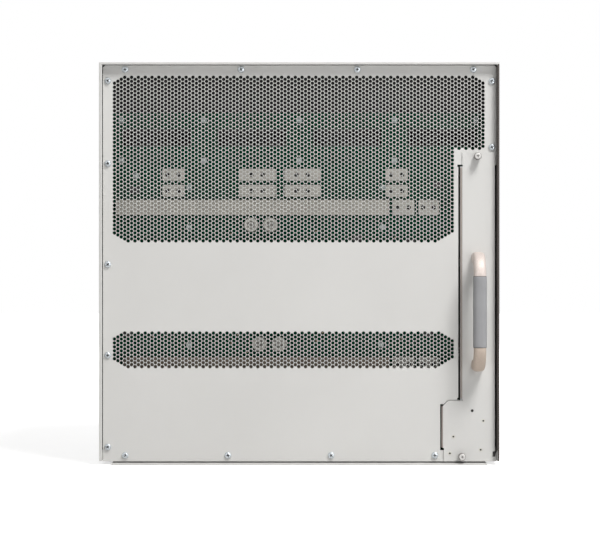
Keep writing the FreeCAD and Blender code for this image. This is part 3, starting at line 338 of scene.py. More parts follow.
def rounded(left, right, low, high, radius):
    """An outline in the XZ plane with round corners."""
    corners = ((right - radius, high - radius), (left + radius, high - radius),
               (left + radius, low + radius), (right - radius, low + radius))
    return [point for quarter, (x, z) in enumerate(corners)
            for point in arc(x, z, radius, quarter, quarter + 1, 4)]


def band(low, high, sides):
    """Faces between two rings, given where their points start."""
    return [(low + k, low + (k + 1) % sides, high + (k + 1) % sides, high + k) for k in range(sides)]


class Solids:
    """Points and faces of several closed forms gathered for one piece."""

    def __init__(self):
        self.points, self.faces = [], []

    def add(self, points, faces, matrix=None):
        start = len(self.points)
        self.points += [tuple(matrix @ Vector(p)) if matrix else tuple(p) for p in points]
        self.faces += [[start + i for i in face] for face in faces]
        return self

    def box(self, x, y, z):
        corners = [(a, b, c) for a in x for b in y for c in z]
        return self.add(corners, [(0, 1, 3, 2), (4, 6, 7, 5), (0, 4, 5, 1),
                                  (2, 3, 7, 6), (0, 2, 6, 4), (1, 5, 7, 3)])

    def loft(self, rings, ring_shaped=False):
        """A form through rings of points, its ends capped or, when ring-shaped, joined."""
        rows, sides = len(rings), len(rings[0])
        faces = []
        for row in range(rows if ring_shaped else rows - 1):
            faces += band(row * sides, (row + 1) % rows * sides, sides)
        if not ring_shaped:
            faces += [range(sides), reversed(range((rows - 1) * sides, rows * sides))]
        return self.add([p for ring in rings for p in ring], faces)

    def spin(self, profile, centre=(0, 0, 0), sides=24, upright=False, teeth=((), 0)):
        """A turned form from (radius, place along its axis), from 0 to 0; teeth are (rows, depth)."""
        points, faces = [], []
        for row, (radius, along) in enumerate(profile[1:-1]):
            for k in range(sides):
                angle = 2 * math.pi * k / sides
                r = radius - (teeth[1] if row in teeth[0] and k % 2 else 0)
                points.append((r * math.cos(angle), along, r * math.sin(angle)))
        last, near, far = (len(profile) - 3) * sides, len(points), len(points) + 1
        points += [(0, profile[0][1], 0), (0, profile[-1][1], 0)]
        for low in range(0, last, sides):
            faces += band(low, low + sides, sides)
        for k in range(sides):
            n = (k + 1) % sides
            faces += [(n, k, near), (last + k, last + n, far)]
        turn = Matrix.Rotation(math.pi / 2, 4, "X") if upright else Matrix()
        return self.add(points, faces, Matrix.Translation(centre) @ turn)

    def plate(self, loops, low, high):
        """A plate in the XZ plane from an outline and its holes, between two places along Y."""
        corners, edges = [], []
        for loop in loops:
            start, size = len(corners), len(loop)
            corners += [Vector(p) for p in loop]
            edges += [(start + k, start + (k + 1) % size) for k in range(size)]
        found, _, triangles, sources, _, _ = delaunay_2d_cdt(corners, edges, [], 1, 1e-6)
        place = {old: new for new, olds in enumerate(sources) for old in olds}
        flat = np.array([tuple(p) for p in found])
        ends = np.array([[tuple(corners[a]), tuple(corners[b])] for a, b in edges])
        (x1, z1), (x2, z2) = ends[:, 0].T, ends[:, 1].T
        count = len(found)
        faces = []
        for triangle in triangles:
            # A triangle is plate if a ray from its middle crosses the loops an odd number of times.
            x, z = flat[list(triangle)].mean(axis=0)
            with np.errstate(divide="ignore", invalid="ignore"):
                beyond = x < x1 + (z - z1) * (x2 - x1) / (z2 - z1)
            if np.count_nonzero(((z1 > z) != (z2 > z)) & beyond) % 2:
                faces += [tuple(triangle), tuple(i + count for i in reversed(triangle))]
        faces += [(place[a], place[b], place[b] + count, place[a] + count) for a, b in edges]
        return self.add([(x, y, z) for y in (low, high) for x, z in flat], faces)

    def piece(self, name, look, *place):
        """All as one piece; place is its body, slot (not used) and replaced nodes, as far as given."""
        mesh = closed_mesh(name, [Vector(p) * MM for p in self.points], self.faces, smooth=True)
        place_mesh(name, mesh, look, *place)


def box_piece(name, look, body, boxes):
    solids = Solids()
    for box in boxes:
        solids.box(*box)
    solids.piece(name, look, body)


def carved(solids, cutter):
    """Closed forms with others cut away."""
    base, tool = (link(bpy.data.objects.new("carving", closed_mesh("carving", forms.points, forms.faces)))
                  for forms in (solids, cutter))
    boolean = base.modifiers.new("cut", "BOOLEAN")
    boolean.operation, boolean.solver, boolean.object = "DIFFERENCE", "EXACT", tool
    bpy.context.view_layer.update()
    result = bpy.data.meshes.new_from_object(base.evaluated_get(bpy.context.evaluated_depsgraph_get()))
    made = Solids().add([v.co for v in result.vertices], [f.vertices for f in result.polygons])
    for mesh in (result, base.data, tool.data):
        bpy.data.meshes.remove(mesh)
    return made


def stamp(name, form, places, look, *place, facing="-y"):
    """Copies of one form at several places, as one piece; facing is the way its head points."""
    ways = {"-y": Matrix(), "+y": Matrix.Rotation(math.pi, 4, "Z"),
            "+z": Matrix.Rotation(-math.pi / 2, 4, "X")}
    gathered = Solids()
    for number, spot in enumerate(places):
        turn = Matrix.Rotation(0.9 * number, 4, "Y")
        gathered.add(form.points, form.faces, Matrix.Translation(spot) @ ways[facing] @ turn)
    gathered.piece(name, look, *place)


# ---- perforated rear panel

PANEL_BACK, PANEL_FRONT = -198, -196.8
PANEL_OUTLINE = [
    (-216.1, 3.5), (217.2, 3.5), (217.2, 15.7), (155.3, 15.7), (155.3, 66.6), (158.6, 66.6),
    (158.6, 65.8), (164, 71.2), (174.1, 71.2), (174.1, 73.4), (175.2, 73.4),
    (175.2, 327.7), (174.2, 327.7), (174.2, 330.2), (217.2, 330.2),
    (217.2, 437.4), (214.9, 439.7), (-213.6, 439.7), (-216.1, 437.4),
]
THUMBSCREWS = (("upper", 196.05, 339.35), ("lower", 178.8, 9.1))
THUMBSCREW_HOLES = [circle(x, z, 2.3) for _, x, z in THUMBSCREWS]

COLUMN_STEP = 3.757
HALF_PITCH = COLUMN_STEP / math.sqrt(3)
FIRST_COLUMN_X = -203.4
UPPER_TOP_Z, LOWER_TOP_Z = 426.5, 144.8
MAIN_COLUMNS, WING_COLUMNS = 100, 9
HOLE_RADIUS, HOLE_SIDES = 1.97, 12
HEX = [(2, 0), (1, 1), (-1, 1), (-2, 0), (-1, -1), (1, -1)]


def window(columns, steps, cuts, first=0):
    """(column, half steps down) of cells; cuts: top left, top right, bottom left, bottom right corner."""
    cells = []
    for left in range(columns):
        right, column = columns - 1 - left, first + left
        top = max(0, cuts[0] - left, cuts[1] - right)
        bottom = min(steps, steps - cuts[2] + left, steps - cuts[3] + right)
        cells += [(column, step) for step in range(top, bottom + 1) if (step + column) % 2]
    return cells


UPPER_CELLS = window(MAIN_COLUMNS, 83, (3, 0, 4, 5)) + window(WING_COLUMNS, 36, (0, 3, 0, 0), MAIN_COLUMNS)
LOWER_CELLS = window(MAIN_COLUMNS, 17, (3, 4, 4, 5))


def lattice_place(key, top_z):
    return FIRST_COLUMN_X + key[0] * COLUMN_STEP / 3, top_z - key[1] * HALF_PITCH


def cell_corners(cell):
    return [(3 * cell[0] + dx, cell[1] - dz) for dx, dz in HEX]


def borders(cells):
    """Closed loops of lattice keys round a set of six-sided cells."""
    edges = set()
    for cell in cells:
        corners = cell_corners(cell)
        edges |= set(zip(corners, corners[1:] + corners[:1]))
    ways = {a: b for a, b in edges if (b, a) not in edges}
    loops = []
    while ways:
        loop, at = [], min(ways)
        while at in ways:
            loop.append(at)
            at = ways.pop(at)
        loops.append(loop)
    return loops


def perforated(name, cells, top_z):
    """A closed piece of perforated sheet: six-sided cells, each with a twelve-sided hole."""
    keys, faces = {}, []
    for cell in cells:
        for key in cell_corners(cell):
            keys.setdefault(key, len(keys))
    count = len(keys)
    rim = [lattice_place(key, top_z) for key in keys]
    points = [(x, y, z) for y in (PANEL_BACK, PANEL_FRONT) for x, z in rim]
    for column, step in cells:
        start = len(points)
        hole = circle(*lattice_place((3 * column, step), top_z), HOLE_RADIUS, HOLE_SIDES)
        points += [(x, y, z) for y in (PANEL_BACK, PANEL_FRONT) for x, z in hole]
        corners = [keys[key] for key in cell_corners((column, step))]
        for side in range(6):
            a, b = corners[side], corners[(side + 1) % 6]
            i, j, k = (start + (2 * side + n) % HOLE_SIDES for n in range(3))
            for triangle in ((a, b, j), (a, j, i), (b, k, j)):
                other_side = tuple(v + (count if v < count else HOLE_SIDES) for v in reversed(triangle))
                faces += [triangle, other_side]
        faces += band(start, start + HOLE_SIDES, HOLE_SIDES)
    for loop in borders(cells):
        for first, second in zip(loop, loop[1:] + loop[:1]):
            a, b = keys[first], keys[second]
            faces.append((b, a, a + count, b + count))
    place_mesh(name, closed_mesh(name, np.array(points) * MM, faces), "sheet", "chassis", "sheet")


def make_rear_panel():
    windows = ((UPPER_CELLS, UPPER_TOP_Z), (LOWER_CELLS, LOWER_TOP_Z))
    rims = [[lattice_place(key, top) for key in loop] for cells, top in windows for loop in borders(cells)]
    sheet = Solids().plate([PANEL_OUTLINE] + rims + THUMBSCREW_HOLES, PANEL_BACK, PANEL_FRONT)
    sheet.piece("rear_panel_sheet", "sheet", "chassis", "sheet", ["rear_panel"])
    half = (MAIN_COLUMNS + WING_COLUMNS) // 2 - 2
    perforated("rear_perforation_upper_left", [c for c in UPPER_CELLS if c[0] < half], UPPER_TOP_Z)
    perforated("rear_perforation_upper_right", [c for c in UPPER_CELLS if c[0] >= half], UPPER_TOP_Z)
    perforated("rear_perforation_lower", LOWER_CELLS, LOWER_TOP_Z)


# ---- screws

PANEL_SCREWS = [(x, PANEL_BACK, z) for x, z in (
    (-191.7, 435.1), (-63.9, 435.1), (63.9, 435.1), (191.7, 435.1),
    (-210.7, 422.6), (-210.7, 331.5), (-210.7, 220.4), (-210.7, 120.5), (-210.7, 19.4),
    (212.2, 422.2), (212.2, 349.5),
    (-191.5, 10.2), (-78.4, 10.2), (35.2, 10.2), (149.3, 10.2))]


def cross_recess(size, depth, face):
    """A tapering cross that cuts a recess into a head whose outer face is at a place along Y."""
    wide, slim = size / 2, size * 0.14
    turns = [Matrix.Rotation(quarter * math.pi / 2, 2) for quarter in range(4)]
    cross = [turn @ Vector(corner) for turn in turns for corner in ((wide, slim), (slim, slim), (slim, wide))]
    return Solids().loft([[(share * x, y, share * z) for x, z in cross]
                          for share, y in ((1, face - 0.5), (0.55, face + depth))])


def pan_head(radius, height):
    """A pan head with its cross recess, standing out towards -Y from the origin."""
    profile = [(0, 0), (radius * 0.94, 0), (radius, -height * 0.25), (radius * 0.97, -height * 0.55),
               (radius * 0.82, -height * 0.84), (radius * 0.55, -height * 0.97), (0, -height)]
    return carved(Solids().spin(profile), cross_recess(radius * 1.15, height * 0.62, -height))


def make_screws():
    stamp("rear_panel_screw_heads", pan_head(3.7, 2.3), PANEL_SCREWS, "zinc", "chassis", "plated_steel",
          ["rear_panel_screws"])
    # A dark disc in each screw's cross recess, painted shade.
    floor = Solids().spin([(0, -0.5), (1.7, -0.5), (1.7, -1.35), (0, -1.4)], sides=12)
    stamp("rear_panel_screw_recesses", floor, PANEL_SCREWS, "groove")


# ---- board behind the perforations

BOARD_Y = -166                     # back of the board
SUPPLY_MIDDLES = (-159.45, -53.15, 53.15, 159.45)
BAY_FLOORS = (330, 373.5)
SLOT_LOWS = tuple(8.1 + 45.4 * k for k in range(7))
SLOT_CONNECTORS = ((-171.4, -111), (-80.8, -20.7), (54.1, 113.6))
UPPER_BAR, LOWER_BAR = (275.7, 292.4), (100.7, 117.4)
BAR_ENDS = ((104.6, 128.4), (133, 155.8))
TERMINALS = ((-152.6, -128), (-67.1, -26.1), (-16.5, 23.8), (96.9, 121))
TERMINAL_ROWS = ((313.9, 327.1), (296, 309.2))
# (left, right, low, high, places of the two bores from the middle)
TABS = ([(*ends, *row, (-6.6, 5.8)) for row in TERMINAL_ROWS for ends in TERMINALS]
        + [(*ends, *bar, (-6.4, 5.6)) for bar in (UPPER_BAR, LOWER_BAR) for ends in BAR_ENDS])
STUDS = ((-53.5, 264.5), (-31.9, 264.5), (-44.3, 132.1), (-22.6, 132.1))
STUD_PROFILE = [(0, -5), (3.6, -5), (3.8, -11.4), (4.4, -12), (7.4, -12), (8, -11.3), (8, 0), (0, 0)]
CAPACITORS = 150
KEPT_CLEAR = ((272.7, 295.4), (97.7, 120.4), (294, 330))       # heights of the bars and terminals
CHIPS = ((-190, 236), (120, 242), (150, 306), (-188, 300), (140, 140), (-196, 140), (128, 80), (60, 246))
BOARD_SCREWS = (
    [(x, 381.5) for x in (-198.4, -106.3, 0, 106.3, 197.4)] + [(x, 336.5) for x in (-198.4, -106.3, 0, 106.3)]
    + [(-182, 319.2), (-122.9, 306.4), (-122.9, 261.7), (92.9, 306.4), (92.9, 262.3),
       (-122.9, 130.7), (91.2, 131.5)]
)


def tail_field(solids, x, z, pitch, gap_every):
    """A field of square connector tails on the board, with some columns left out."""
    for column in range(int((x[1] - x[0]) / pitch[0]) + 1):
        if column % gap_every == gap_every - 1:
            continue
        for row in range(int((z[1] - z[0]) / pitch[1]) + 1):
            px, pz = x[0] + column * pitch[0], z[0] + row * pitch[1]
            solids.box((px - 0.4, px + 0.4), (BOARD_Y - 1.5, BOARD_Y), (pz - 0.4, pz + 0.4))


def make_tails():
    tails = Solids()
    for middle in SUPPLY_MIDDLES:
        for floor in BAY_FLOORS:
            tail_field(tails, (middle - 23.5, middle + 23.5), (floor + 2.6, floor + 17), (2.6, 2.4), 7)
    for low in SLOT_LOWS:
        for left, right in SLOT_CONNECTORS:
            tail_field(tails, (left + 2, right - 2), (low + 0.8, low + 13.6), (2.4, 2.5), 9)
    tails.piece("board_connector_tails", "tail")


def make_board_parts():
    places = [(-196 + (number * 73.7) % 372, 20 + (number * 41.3) % 300) for number in range(CAPACITORS)]
    places = [(x, z) for x, z in places if not any(low < z < high for low, high in KEPT_CLEAR)]
    box_piece("board_capacitors", "ceramic", "chassis",
              [((x, x + 2), (BOARD_Y - 1, BOARD_Y), (z, z + 1.2)) for x, z in places])
    box_piece("board_chips", "epoxy", "chassis",
              [((x, x + 9), (BOARD_Y - 1.8, BOARD_Y), (z, z + 7)) for x, z in CHIPS])


def make_terminals():
    """Terminal plates, the busbars' end tabs, round studs and the dark floors of the bores, which are painted
    shade.
    """
    plates, floors = Solids(), Solids()
    for left, right, low, high, offsets in TABS:
        bores = [((left + right) / 2 + offset, (low + high) / 2) for offset in offsets]
        plates.plate([rounded(left, right, low, high, 1.6)] + [circle(x, z, 2.5) for x, z in bores],
                     BOARD_Y - 3, BOARD_Y)
        for x, z in bores:
            floors.spin([(0, -0.4), (2.3, -0.4), (2.4, 0), (0, 0)], (x, BOARD_Y, z), 14)
    for x, z in STUDS:
        plates.spin(STUD_PROFILE, (x, BOARD_Y, z), 28)
    plates.piece("board_terminals", "cream", "chassis", "tin", ["terminal_plates"])
    floors.piece("board_terminal_bores", "groove")


def make_board_screws():
    screw, head = Solids().spin([(0, 0), (3.3, 0), (3.3, -0.6), (0, -0.6)]), pan_head(2.6, 1.9)
    screw.add(head.points, head.faces, Matrix.Translation((0, -0.6, 0)))
    stamp("board_screw_heads", screw, [(x, BOARD_Y, z) for x, z in BOARD_SCREWS], "dull_zinc", "chassis",
          "plated_steel", ["board_screws"])


# ---- strips of painted shade in gaps and behind cut-outs

# (name, look, body, boxes)
STRIPS = (
    # A near-black sheet behind the top rows of holes, painted shade of the deep exhaust space.
    ("exhaust_shade_sheet", "baffle", "chassis", [((-211, 211), (BOARD_Y - 1.2, BOARD_Y), (389.8, 432))]),
    # Brown-grey strips in the seams beside the cover, its folds in shade: painted shade.
    ("fan_tray_cover_fold_shade", "gasket", "fan_tray", [((177.5, 179.5), (-198.4, -187), (72.8, 327.2)),
                                                   ((156.8, 158.2), (-198.4, -187), (18.8, 64.4))]),
    # A near-black strip in the gap between the cover and the right wall, painted shade.
    ("fan_bay_outer_strip", "baffle", "chassis", [((215.4, 217.6), (-190, -189.2), (18, 330))]),
    # A dark strip on the right wall's inner face, painted shade.
    ("side_wall_shade_strip", "liner", "chassis", [((217.3, 217.7), (-206.5, -190.5), (16, 439))]),
)
HEM_LOW, HEM_HIGH = 4.6, 439.6
HEM_SECTION = [(-219.1, -205.2), (-219.6, -205.6), (-219.68, -206), (-219.55, -206.5), (-219.2, -206.9),
               (-218.6, -207.15), (-216.9, -207.15), (-216.4, -206.8), (-216.25, -206.3), (-216.4, -205.7),
               (-216.9, -205.2)]
# A dark plate in the corner notch at the bottom of the fan tray, painted shade.
CORNER_SHADE_OUTLINE = [(213.1, 8.8), (215.4, 8.8), (217.5, 14.5), (217.5, 21), (215.7, 21),
                (215.7, 15.4), (213.1, 14.5)]
CORNER_SHADE_BACK, CORNER_SHADE_FRONT = -198.5, -198


def make_strips():
    for strip in STRIPS:
        box_piece(*strip)
    hem = Solids().loft([[(x, y, z) for x, y in HEM_SECTION] for z in (HEM_LOW, HEM_HIGH)])
    hem.piece("side_wall_hem", "sheet")
    Solids().plate([CORNER_SHADE_OUTLINE], CORNER_SHADE_BACK, CORNER_SHADE_FRONT).piece("sill_corner_shade", "groove")


# ---- fan tray rear

COVER_BACK, FLANGE_FRONT = -199.2, -182
COVER_OUTLINE = [
    (159, 3.6), (213.6, 3.6), (213.6, 8.2), (212.6, 8.6), (212.6, 14.2), (215.4, 15), (215.4, 344),
    (179.4, 344), (179.4, 330), (180, 329.6), (180, 327.9), (179.5, 327.6),
    (179.5, 72.4), (180.2, 71.6), (180.2, 70.2), (178, 70.7), (164.2, 70.7), (158.2, 64.7), (158.2, 18.6),
    (159.4, 17.9), (159.4, 16.2), (159, 15.6),
]
FOOT_HOLE = (190.4, 59.4)
RIVETS = [(x, COVER_BACK, z) for x, z in ((202.6, 48.3), (169.6, 30.9), (199.7, 16.4), (165.8, 12.5))]
HANDLE_X, HANDLE_Z, HANDLE_HALF = 196.35, 168.6, 58.7
HANDLE_RADIUS, HANDLE_BEND, HANDLE_Y = 6.8, 20, -231.4
HANDLE_SIDES, BEND_STEPS = 40, 14
BOW_POWER, SLEEVE_POWER = 0.66, 0.74       # how square the sections are; 1 is round
GRIP_LOW, GRIP_HIGH = HANDLE_Z - 38.5, HANDLE_Z + 38.5
GRIP_BORE, GRIP_SIDES = HANDLE_RADIUS + 0.02, 48
GRIP_END = [(6.9, 0), (7.1, 0), (7.35, 0.35), (7.45, 1), (7.5, 6)]       # (radius, place from the end)
SHADOW_RADIUS, SHADOW_WIDTH = 7.02, 0.45


def squared_circle(radius, sides, power):
    """A circle drawn out towards a square with round corners."""
    turns = (2 * math.pi * k / sides for k in range(sides))
    return [tuple(radius * math.copysign(abs(value) ** power, value) for value in (math.cos(t), math.sin(t)))
            for t in turns]


def handle_rings():
    """Rings of points along the bow, from the top."""
    up, back = Vector((0, 0, 1)), Vector((0, -1, 0))
    section = squared_circle(HANDLE_RADIUS, HANDLE_SIDES, BOW_POWER)

    def ring(centre, outward):
        return [tuple(centre + Vector((1, 0, 0)) * across + outward * out) for out, across in section]

    rings = [ring(Vector((HANDLE_X, COVER_BACK, HANDLE_Z + HANDLE_HALF)), up)]
    for end in (1, -1):
        height = HANDLE_Z + end * (HANDLE_HALF - HANDLE_BEND)
        centre = Vector((HANDLE_X, HANDLE_Y + HANDLE_BEND, height))
        for step in range(BEND_STEPS + 1):
            angle = math.pi / 2 * (step if end > 0 else BEND_STEPS - step) / BEND_STEPS
            outward = back * math.sin(angle) + up * (end * math.cos(angle))
            rings.append(ring(centre + outward * HANDLE_BEND, outward))
    return rings + [ring(Vector((HANDLE_X, COVER_BACK, HANDLE_Z - HANDLE_HALF)), -up)]


def add_sleeve(solids, outer):
    """A sleeve round the handle's straight from its outer profile of (radius, z)."""
    profile = outer + [(GRIP_BORE, outer[-1][1]), (GRIP_BORE, outer[0][1])]
    sections = [(squared_circle(radius, GRIP_SIDES, SLEEVE_POWER), z) for radius, z in profile]
    solids.loft([[(HANDLE_X + dx, HANDLE_Y + dy, z) for dx, dy in section]
                 for section, z in sections], ring_shaped=True)


def make_tray_cover():
    holes = [circle(*FOOT_HOLE, 1.65, 16)] + THUMBSCREW_HOLES
    cover = Solids().plate([COVER_OUTLINE] + holes, COVER_BACK, PANEL_BACK)
    cover.box((158.2, 159.4), (PANEL_BACK, FLANGE_FRONT), (18.6, 64.7))
    cover.box((164.2, 177), (PANEL_BACK, FLANGE_FRONT), (69.5, 70.7))
    cover.piece("fan_tray_cover_sheet", "sheet", "fan_tray", "sheet", ["fan_tray_cover"])
    rivet = Solids().spin([(0, -0.05), (1.05, -0.05), (1.2, -0.3), (1.85, -0.35), (2.1, 0), (0, 0)], sides=20)
    stamp("fan_tray_rivets", rivet, RIVETS, "tin", "fan_tray")
    # Dark discs in the rivets' bores and in the foot hole, painted shade.
    bore = Solids().spin([(0, -0.12), (0.95, -0.12), (1, 0), (0, 0)], sides=16)
    stamp("fan_tray_rivet_bores", bore, RIVETS, "groove", "fan_tray")
    floor = Solids().spin([(0, -0.2), (1.6, -0.2), (1.6, 0), (0, 0)], sides=16)
    stamp("fan_tray_foot_hole", floor, [(FOOT_HOLE[0], PANEL_BACK, FOOT_HOLE[1])], "groove", "fan_tray")


def make_handle():
    bow, sleeve, rings = Solids().loft(handle_rings()), Solids(), Solids()
    bow.piece("handle_bow", "handle", "fan_tray", "handle_steel", ["fan_tray_handle"])
    add_sleeve(sleeve, [(radius, GRIP_LOW + along) for radius, along in GRIP_END]
               + [(radius, GRIP_HIGH - along) for radius, along in reversed(GRIP_END)])
    sleeve.piece("handle_grip", "grip", "fan_tray", "grip_rubber", ["fan_tray_grip"])
    for low in (GRIP_LOW - SHADOW_WIDTH, GRIP_HIGH):
        add_sleeve(rings, [(SHADOW_RADIUS, low), (SHADOW_RADIUS, low + SHADOW_WIDTH)])
    rings.piece("handle_grip_shadow_rings", "groove", "fan_tray")


def make_thumbscrews():
    """Each knob: a knurled rim on its shank, painted darker for shade and dark reflections, and a paler face
    with a cross recess.
    """
    rim = [(0, 0), (3, 0), (3.1, -1.8), (3.95, -2.2), (4.05, -2.8), (4.05, -9.2), (3.8, -9.9), (0, -9.9)]
    shank = [(0, -0.2), (1.8, -0.2), (1.8, 2.3), (0, 2.4)]
    cap = [(0, -9.9), (3.45, -9.9), (3.4, -10.4), (3, -10.7), (0, -10.8)]
    for word, x, z in THUMBSCREWS:
        node, place = f"fan_tray_thumbscrew_{word}", (x, COVER_BACK, z)
        knob = Solids().spin(rim, place, 56, teeth=((3, 4), 0.3)).spin(shank, place, 20)
        knob.piece(f"thumbscrew_{word}", "knob_rim", node, "plated_steel", [node])
        face = carved(Solids().spin(cap, sides=40), cross_recess(4, 1.2, -10.8))
        stamp(f"thumbscrew_{word}_face", face, [place], "knob", node)


# ---- service side: faces of the cards

FACE_LEFT, FACE_RIGHT = -217.2, 178.2
FACE_Y = 205.7                     # front of the faces
PORT_FLOOR, PORT_FRONT = FACE_Y - 1.35, FACE_Y - 0.15      # behind and before a port's shell
LINE_CARDS = (("line_card_1", 235.1), ("line_card_2", 98.9))
SUPERVISORS = (("supervisor_1", 189.7), ("supervisor_2", 144.3))
JACK_HEIGHT = 10.4
JACK_HALF = [(5.8, 0), (5.8, 7.6), (3, 7.6), (3, 9.2), (1.6, 9.2), (1.6, JACK_HEIGHT)]
# Where the openings for ports begin, how many there are, and their pitch.
PORTS_LEFT, PORT_BLOCKS, BLOCK_PITCH = FACE_LEFT + 54, 10, 29
SINGLE_JACKS, JACK_PITCH = 8, 20
SLOTS_LEFT, SLOT_PITCH, CONSOLE_LEFT = FACE_LEFT + 216, 24, FACE_LEFT + 290
LEVER_TIPS = (("left", -168.2, -1), ("right", 129.2, 1))
LEVER_FRONT = 212.9
PORT_PIECES = {"port": "port_shells", "cavity": "port_floors", "gold": "port_contacts", "lamp": "lamps"}
CARD_SCREW, SUPPLY_SCREW, LID_SCREW = pan_head(2.9, 1.2), pan_head(2.4, 1), pan_head(2.2, 0.5)


class SortedParts:
    """Closed forms of one body, sorted into pieces by look; names are the pieces' words."""

    def __init__(self, body, names):
        self.body, self.names, self.sorts = body, names, {look: Solids() for look in names}

    def sort(self, look):
        return self.sorts.setdefault(look, Solids())

    def pieces(self):
        for look, solids in self.sorts.items():
            solids.piece(f"{self.body}_{self.names.get(look) or 'board_' + look}", look, self.body)


class PortParts(SortedParts):
    """The ports and lamps of a card's face."""

    def jack(self, x, z, scale=1, flip=False):
        """The mouth of a modular jack with its stepped catch, centred on x and standing on z."""
        row = z + scale * (6 if flip else 1)
        for k in range(8):
            place = x + scale * 1.02 * (k - 3.5)
            self.sort("gold").box((place - 0.25, place + 0.25), (PORT_FLOOR, PORT_FLOOR + 0.35),
                                  (row, row + scale * 3.4))
        points = JACK_HALF + [(-a, b) for a, b in reversed(JACK_HALF)]
        if flip:
            points = [(a, JACK_HEIGHT - b) for a, b in reversed(points)]
        return [(x + scale * a, z + scale * b) for a, b in points]

    def insert(self, x, z, mouths):
        """A shell with mouths over a port opening, and the dark floor behind, partly the jack's black plastic
        and partly painted shade.
        """
        corners = [(x[0], z[0]), (x[1], z[0]), (x[1], z[1]), (x[0], z[1])]
        self.sort("port").plate([corners] + mouths, PORT_FLOOR, PORT_FRONT)
        self.sort("cavity").box(x, (PORT_FLOOR - 0.15, PORT_FLOOR), z)

    def lamps(self, places, z, radius):
        for x in places:
            self.sort("lamp").spin([(0, 0), (radius, 0), (radius, 0.35), (radius * 0.6, 0.6), (0, 0.7)],
                                   (x, FACE_Y, z), 12)


def vent_dots(fields):
    """Staggered fields of round vents, shallow dark discs on the face that paint the shade inside the holes:
    (x, z, pitch, radius).
    """
    dots = Solids()
    for x, z, pitch, radius in fields:
        rise = pitch * 0.866
        for row in range(int((z[1] - z[0]) / rise) + 1):
            shift = pitch / 2 * (row % 2)
            for column in range(int((x[1] - x[0] - shift) / pitch) + 1):
                dots.spin([(0, 0), (radius, 0), (radius, 0.06), (0, 0.06)],
                          (x[0] + shift + column * pitch, FACE_Y, z[0] + row * rise), 8)
    return dots


def make_line_card(body, low):
    parts = PortParts(body, PORT_PIECES)
    for k in range(PORT_BLOCKS):
        x, z = PORTS_LEFT + BLOCK_PITCH * k, low + 8
        mouths = []
        for middle in (x + 6.6, x + 19.4):
            mouths += [parts.jack(middle, z + 2.2, flip=True), parts.jack(middle, z + 16.4)]
            parts.lamps((middle - 3, middle + 3), low + 40.5, 0.6)
        parts.insert((x + 0.1, x + 25.9), (z + 0.1, z + 28.9), mouths)
    parts.pieces()
    finish_card(body, low)


def make_supervisor(body, low):
    parts = PortParts(body, PORT_PIECES)
    z = low + 9
    for k in range(SINGLE_JACKS):
        x = PORTS_LEFT + JACK_PITCH * k
        parts.insert((x + 0.1, x + 15.4), (z + 0.1, z + 10.9), [parts.jack(x + 7.75, z + 0.6, 0.93)])
        parts.lamps((x + 4, x + 11.5), z + 13.4, 0.7)
    for k in range(2):
        x = SLOTS_LEFT + SLOT_PITCH * k
        slots = [rounded(x + 1.2, x + 14.8, z + bottom, z + bottom + 4.2, 0.4) for bottom in (1.2, 6.6)]
        parts.insert((x + 0.1, x + 15.9), (z + 0.1, z + 11.9), slots)
    x = CONSOLE_LEFT
    parts.insert((x + 0.1, x + 13.9), (z + 0.1, z + 6.4), [rounded(x + 0.9, x + 13.1, z + 0.9, z + 5.6, 0.3)])
    parts.sort("gold").box((x + 2, x + 12), (PORT_FLOOR, FACE_Y - 0.4), (z + 2.4, z + 3.4))
    parts.lamps([x + 26 + 7 * k for k in range(6)], z + 4, 1.2)
    parts.pieces()
    fields = [((FACE_LEFT + left, FACE_LEFT + right), (low + 29, low + 39), 3.6, 1.15)
              for left, right in ((54, 194), (204, 342))]
    vent_dots(fields).piece(f"{body}_vents", "cavity", body)
    finish_card(body, low)


def finish_card(body, low):
    """Captive screws of a card and the finger ridges of its levers."""
    places = [(x, FACE_Y, low + 5.6) for x in (FACE_LEFT + 6, FACE_RIGHT - 6)]
    stamp(f"{body}_captive_screws", CARD_SCREW, places, "zinc", body, facing="+y")
    for word, tip, way in LEVER_TIPS:
        ridges = [sorted((tip + way * (2 + 2.4 * k), tip + way * (3.1 + 2.4 * k))) for k in range(6)]
        box_piece(f"{body}_lever_{word}_ridges", "lever", f"{body}_lever_{word}",
                  [(x, (LEVER_FRONT, LEVER_FRONT + 0.6), (low + 16.8, low + 27.8)) for x in ridges])


# ---- circuit boards of the cards

CARD_BOARD_REST, CARD_BOARD_TOP = 5.2, 6.8
CARD_BOARD_X, CARD_BOARD_Y = (-204, 164), (-138, 203.5)
SKIN = 0.1


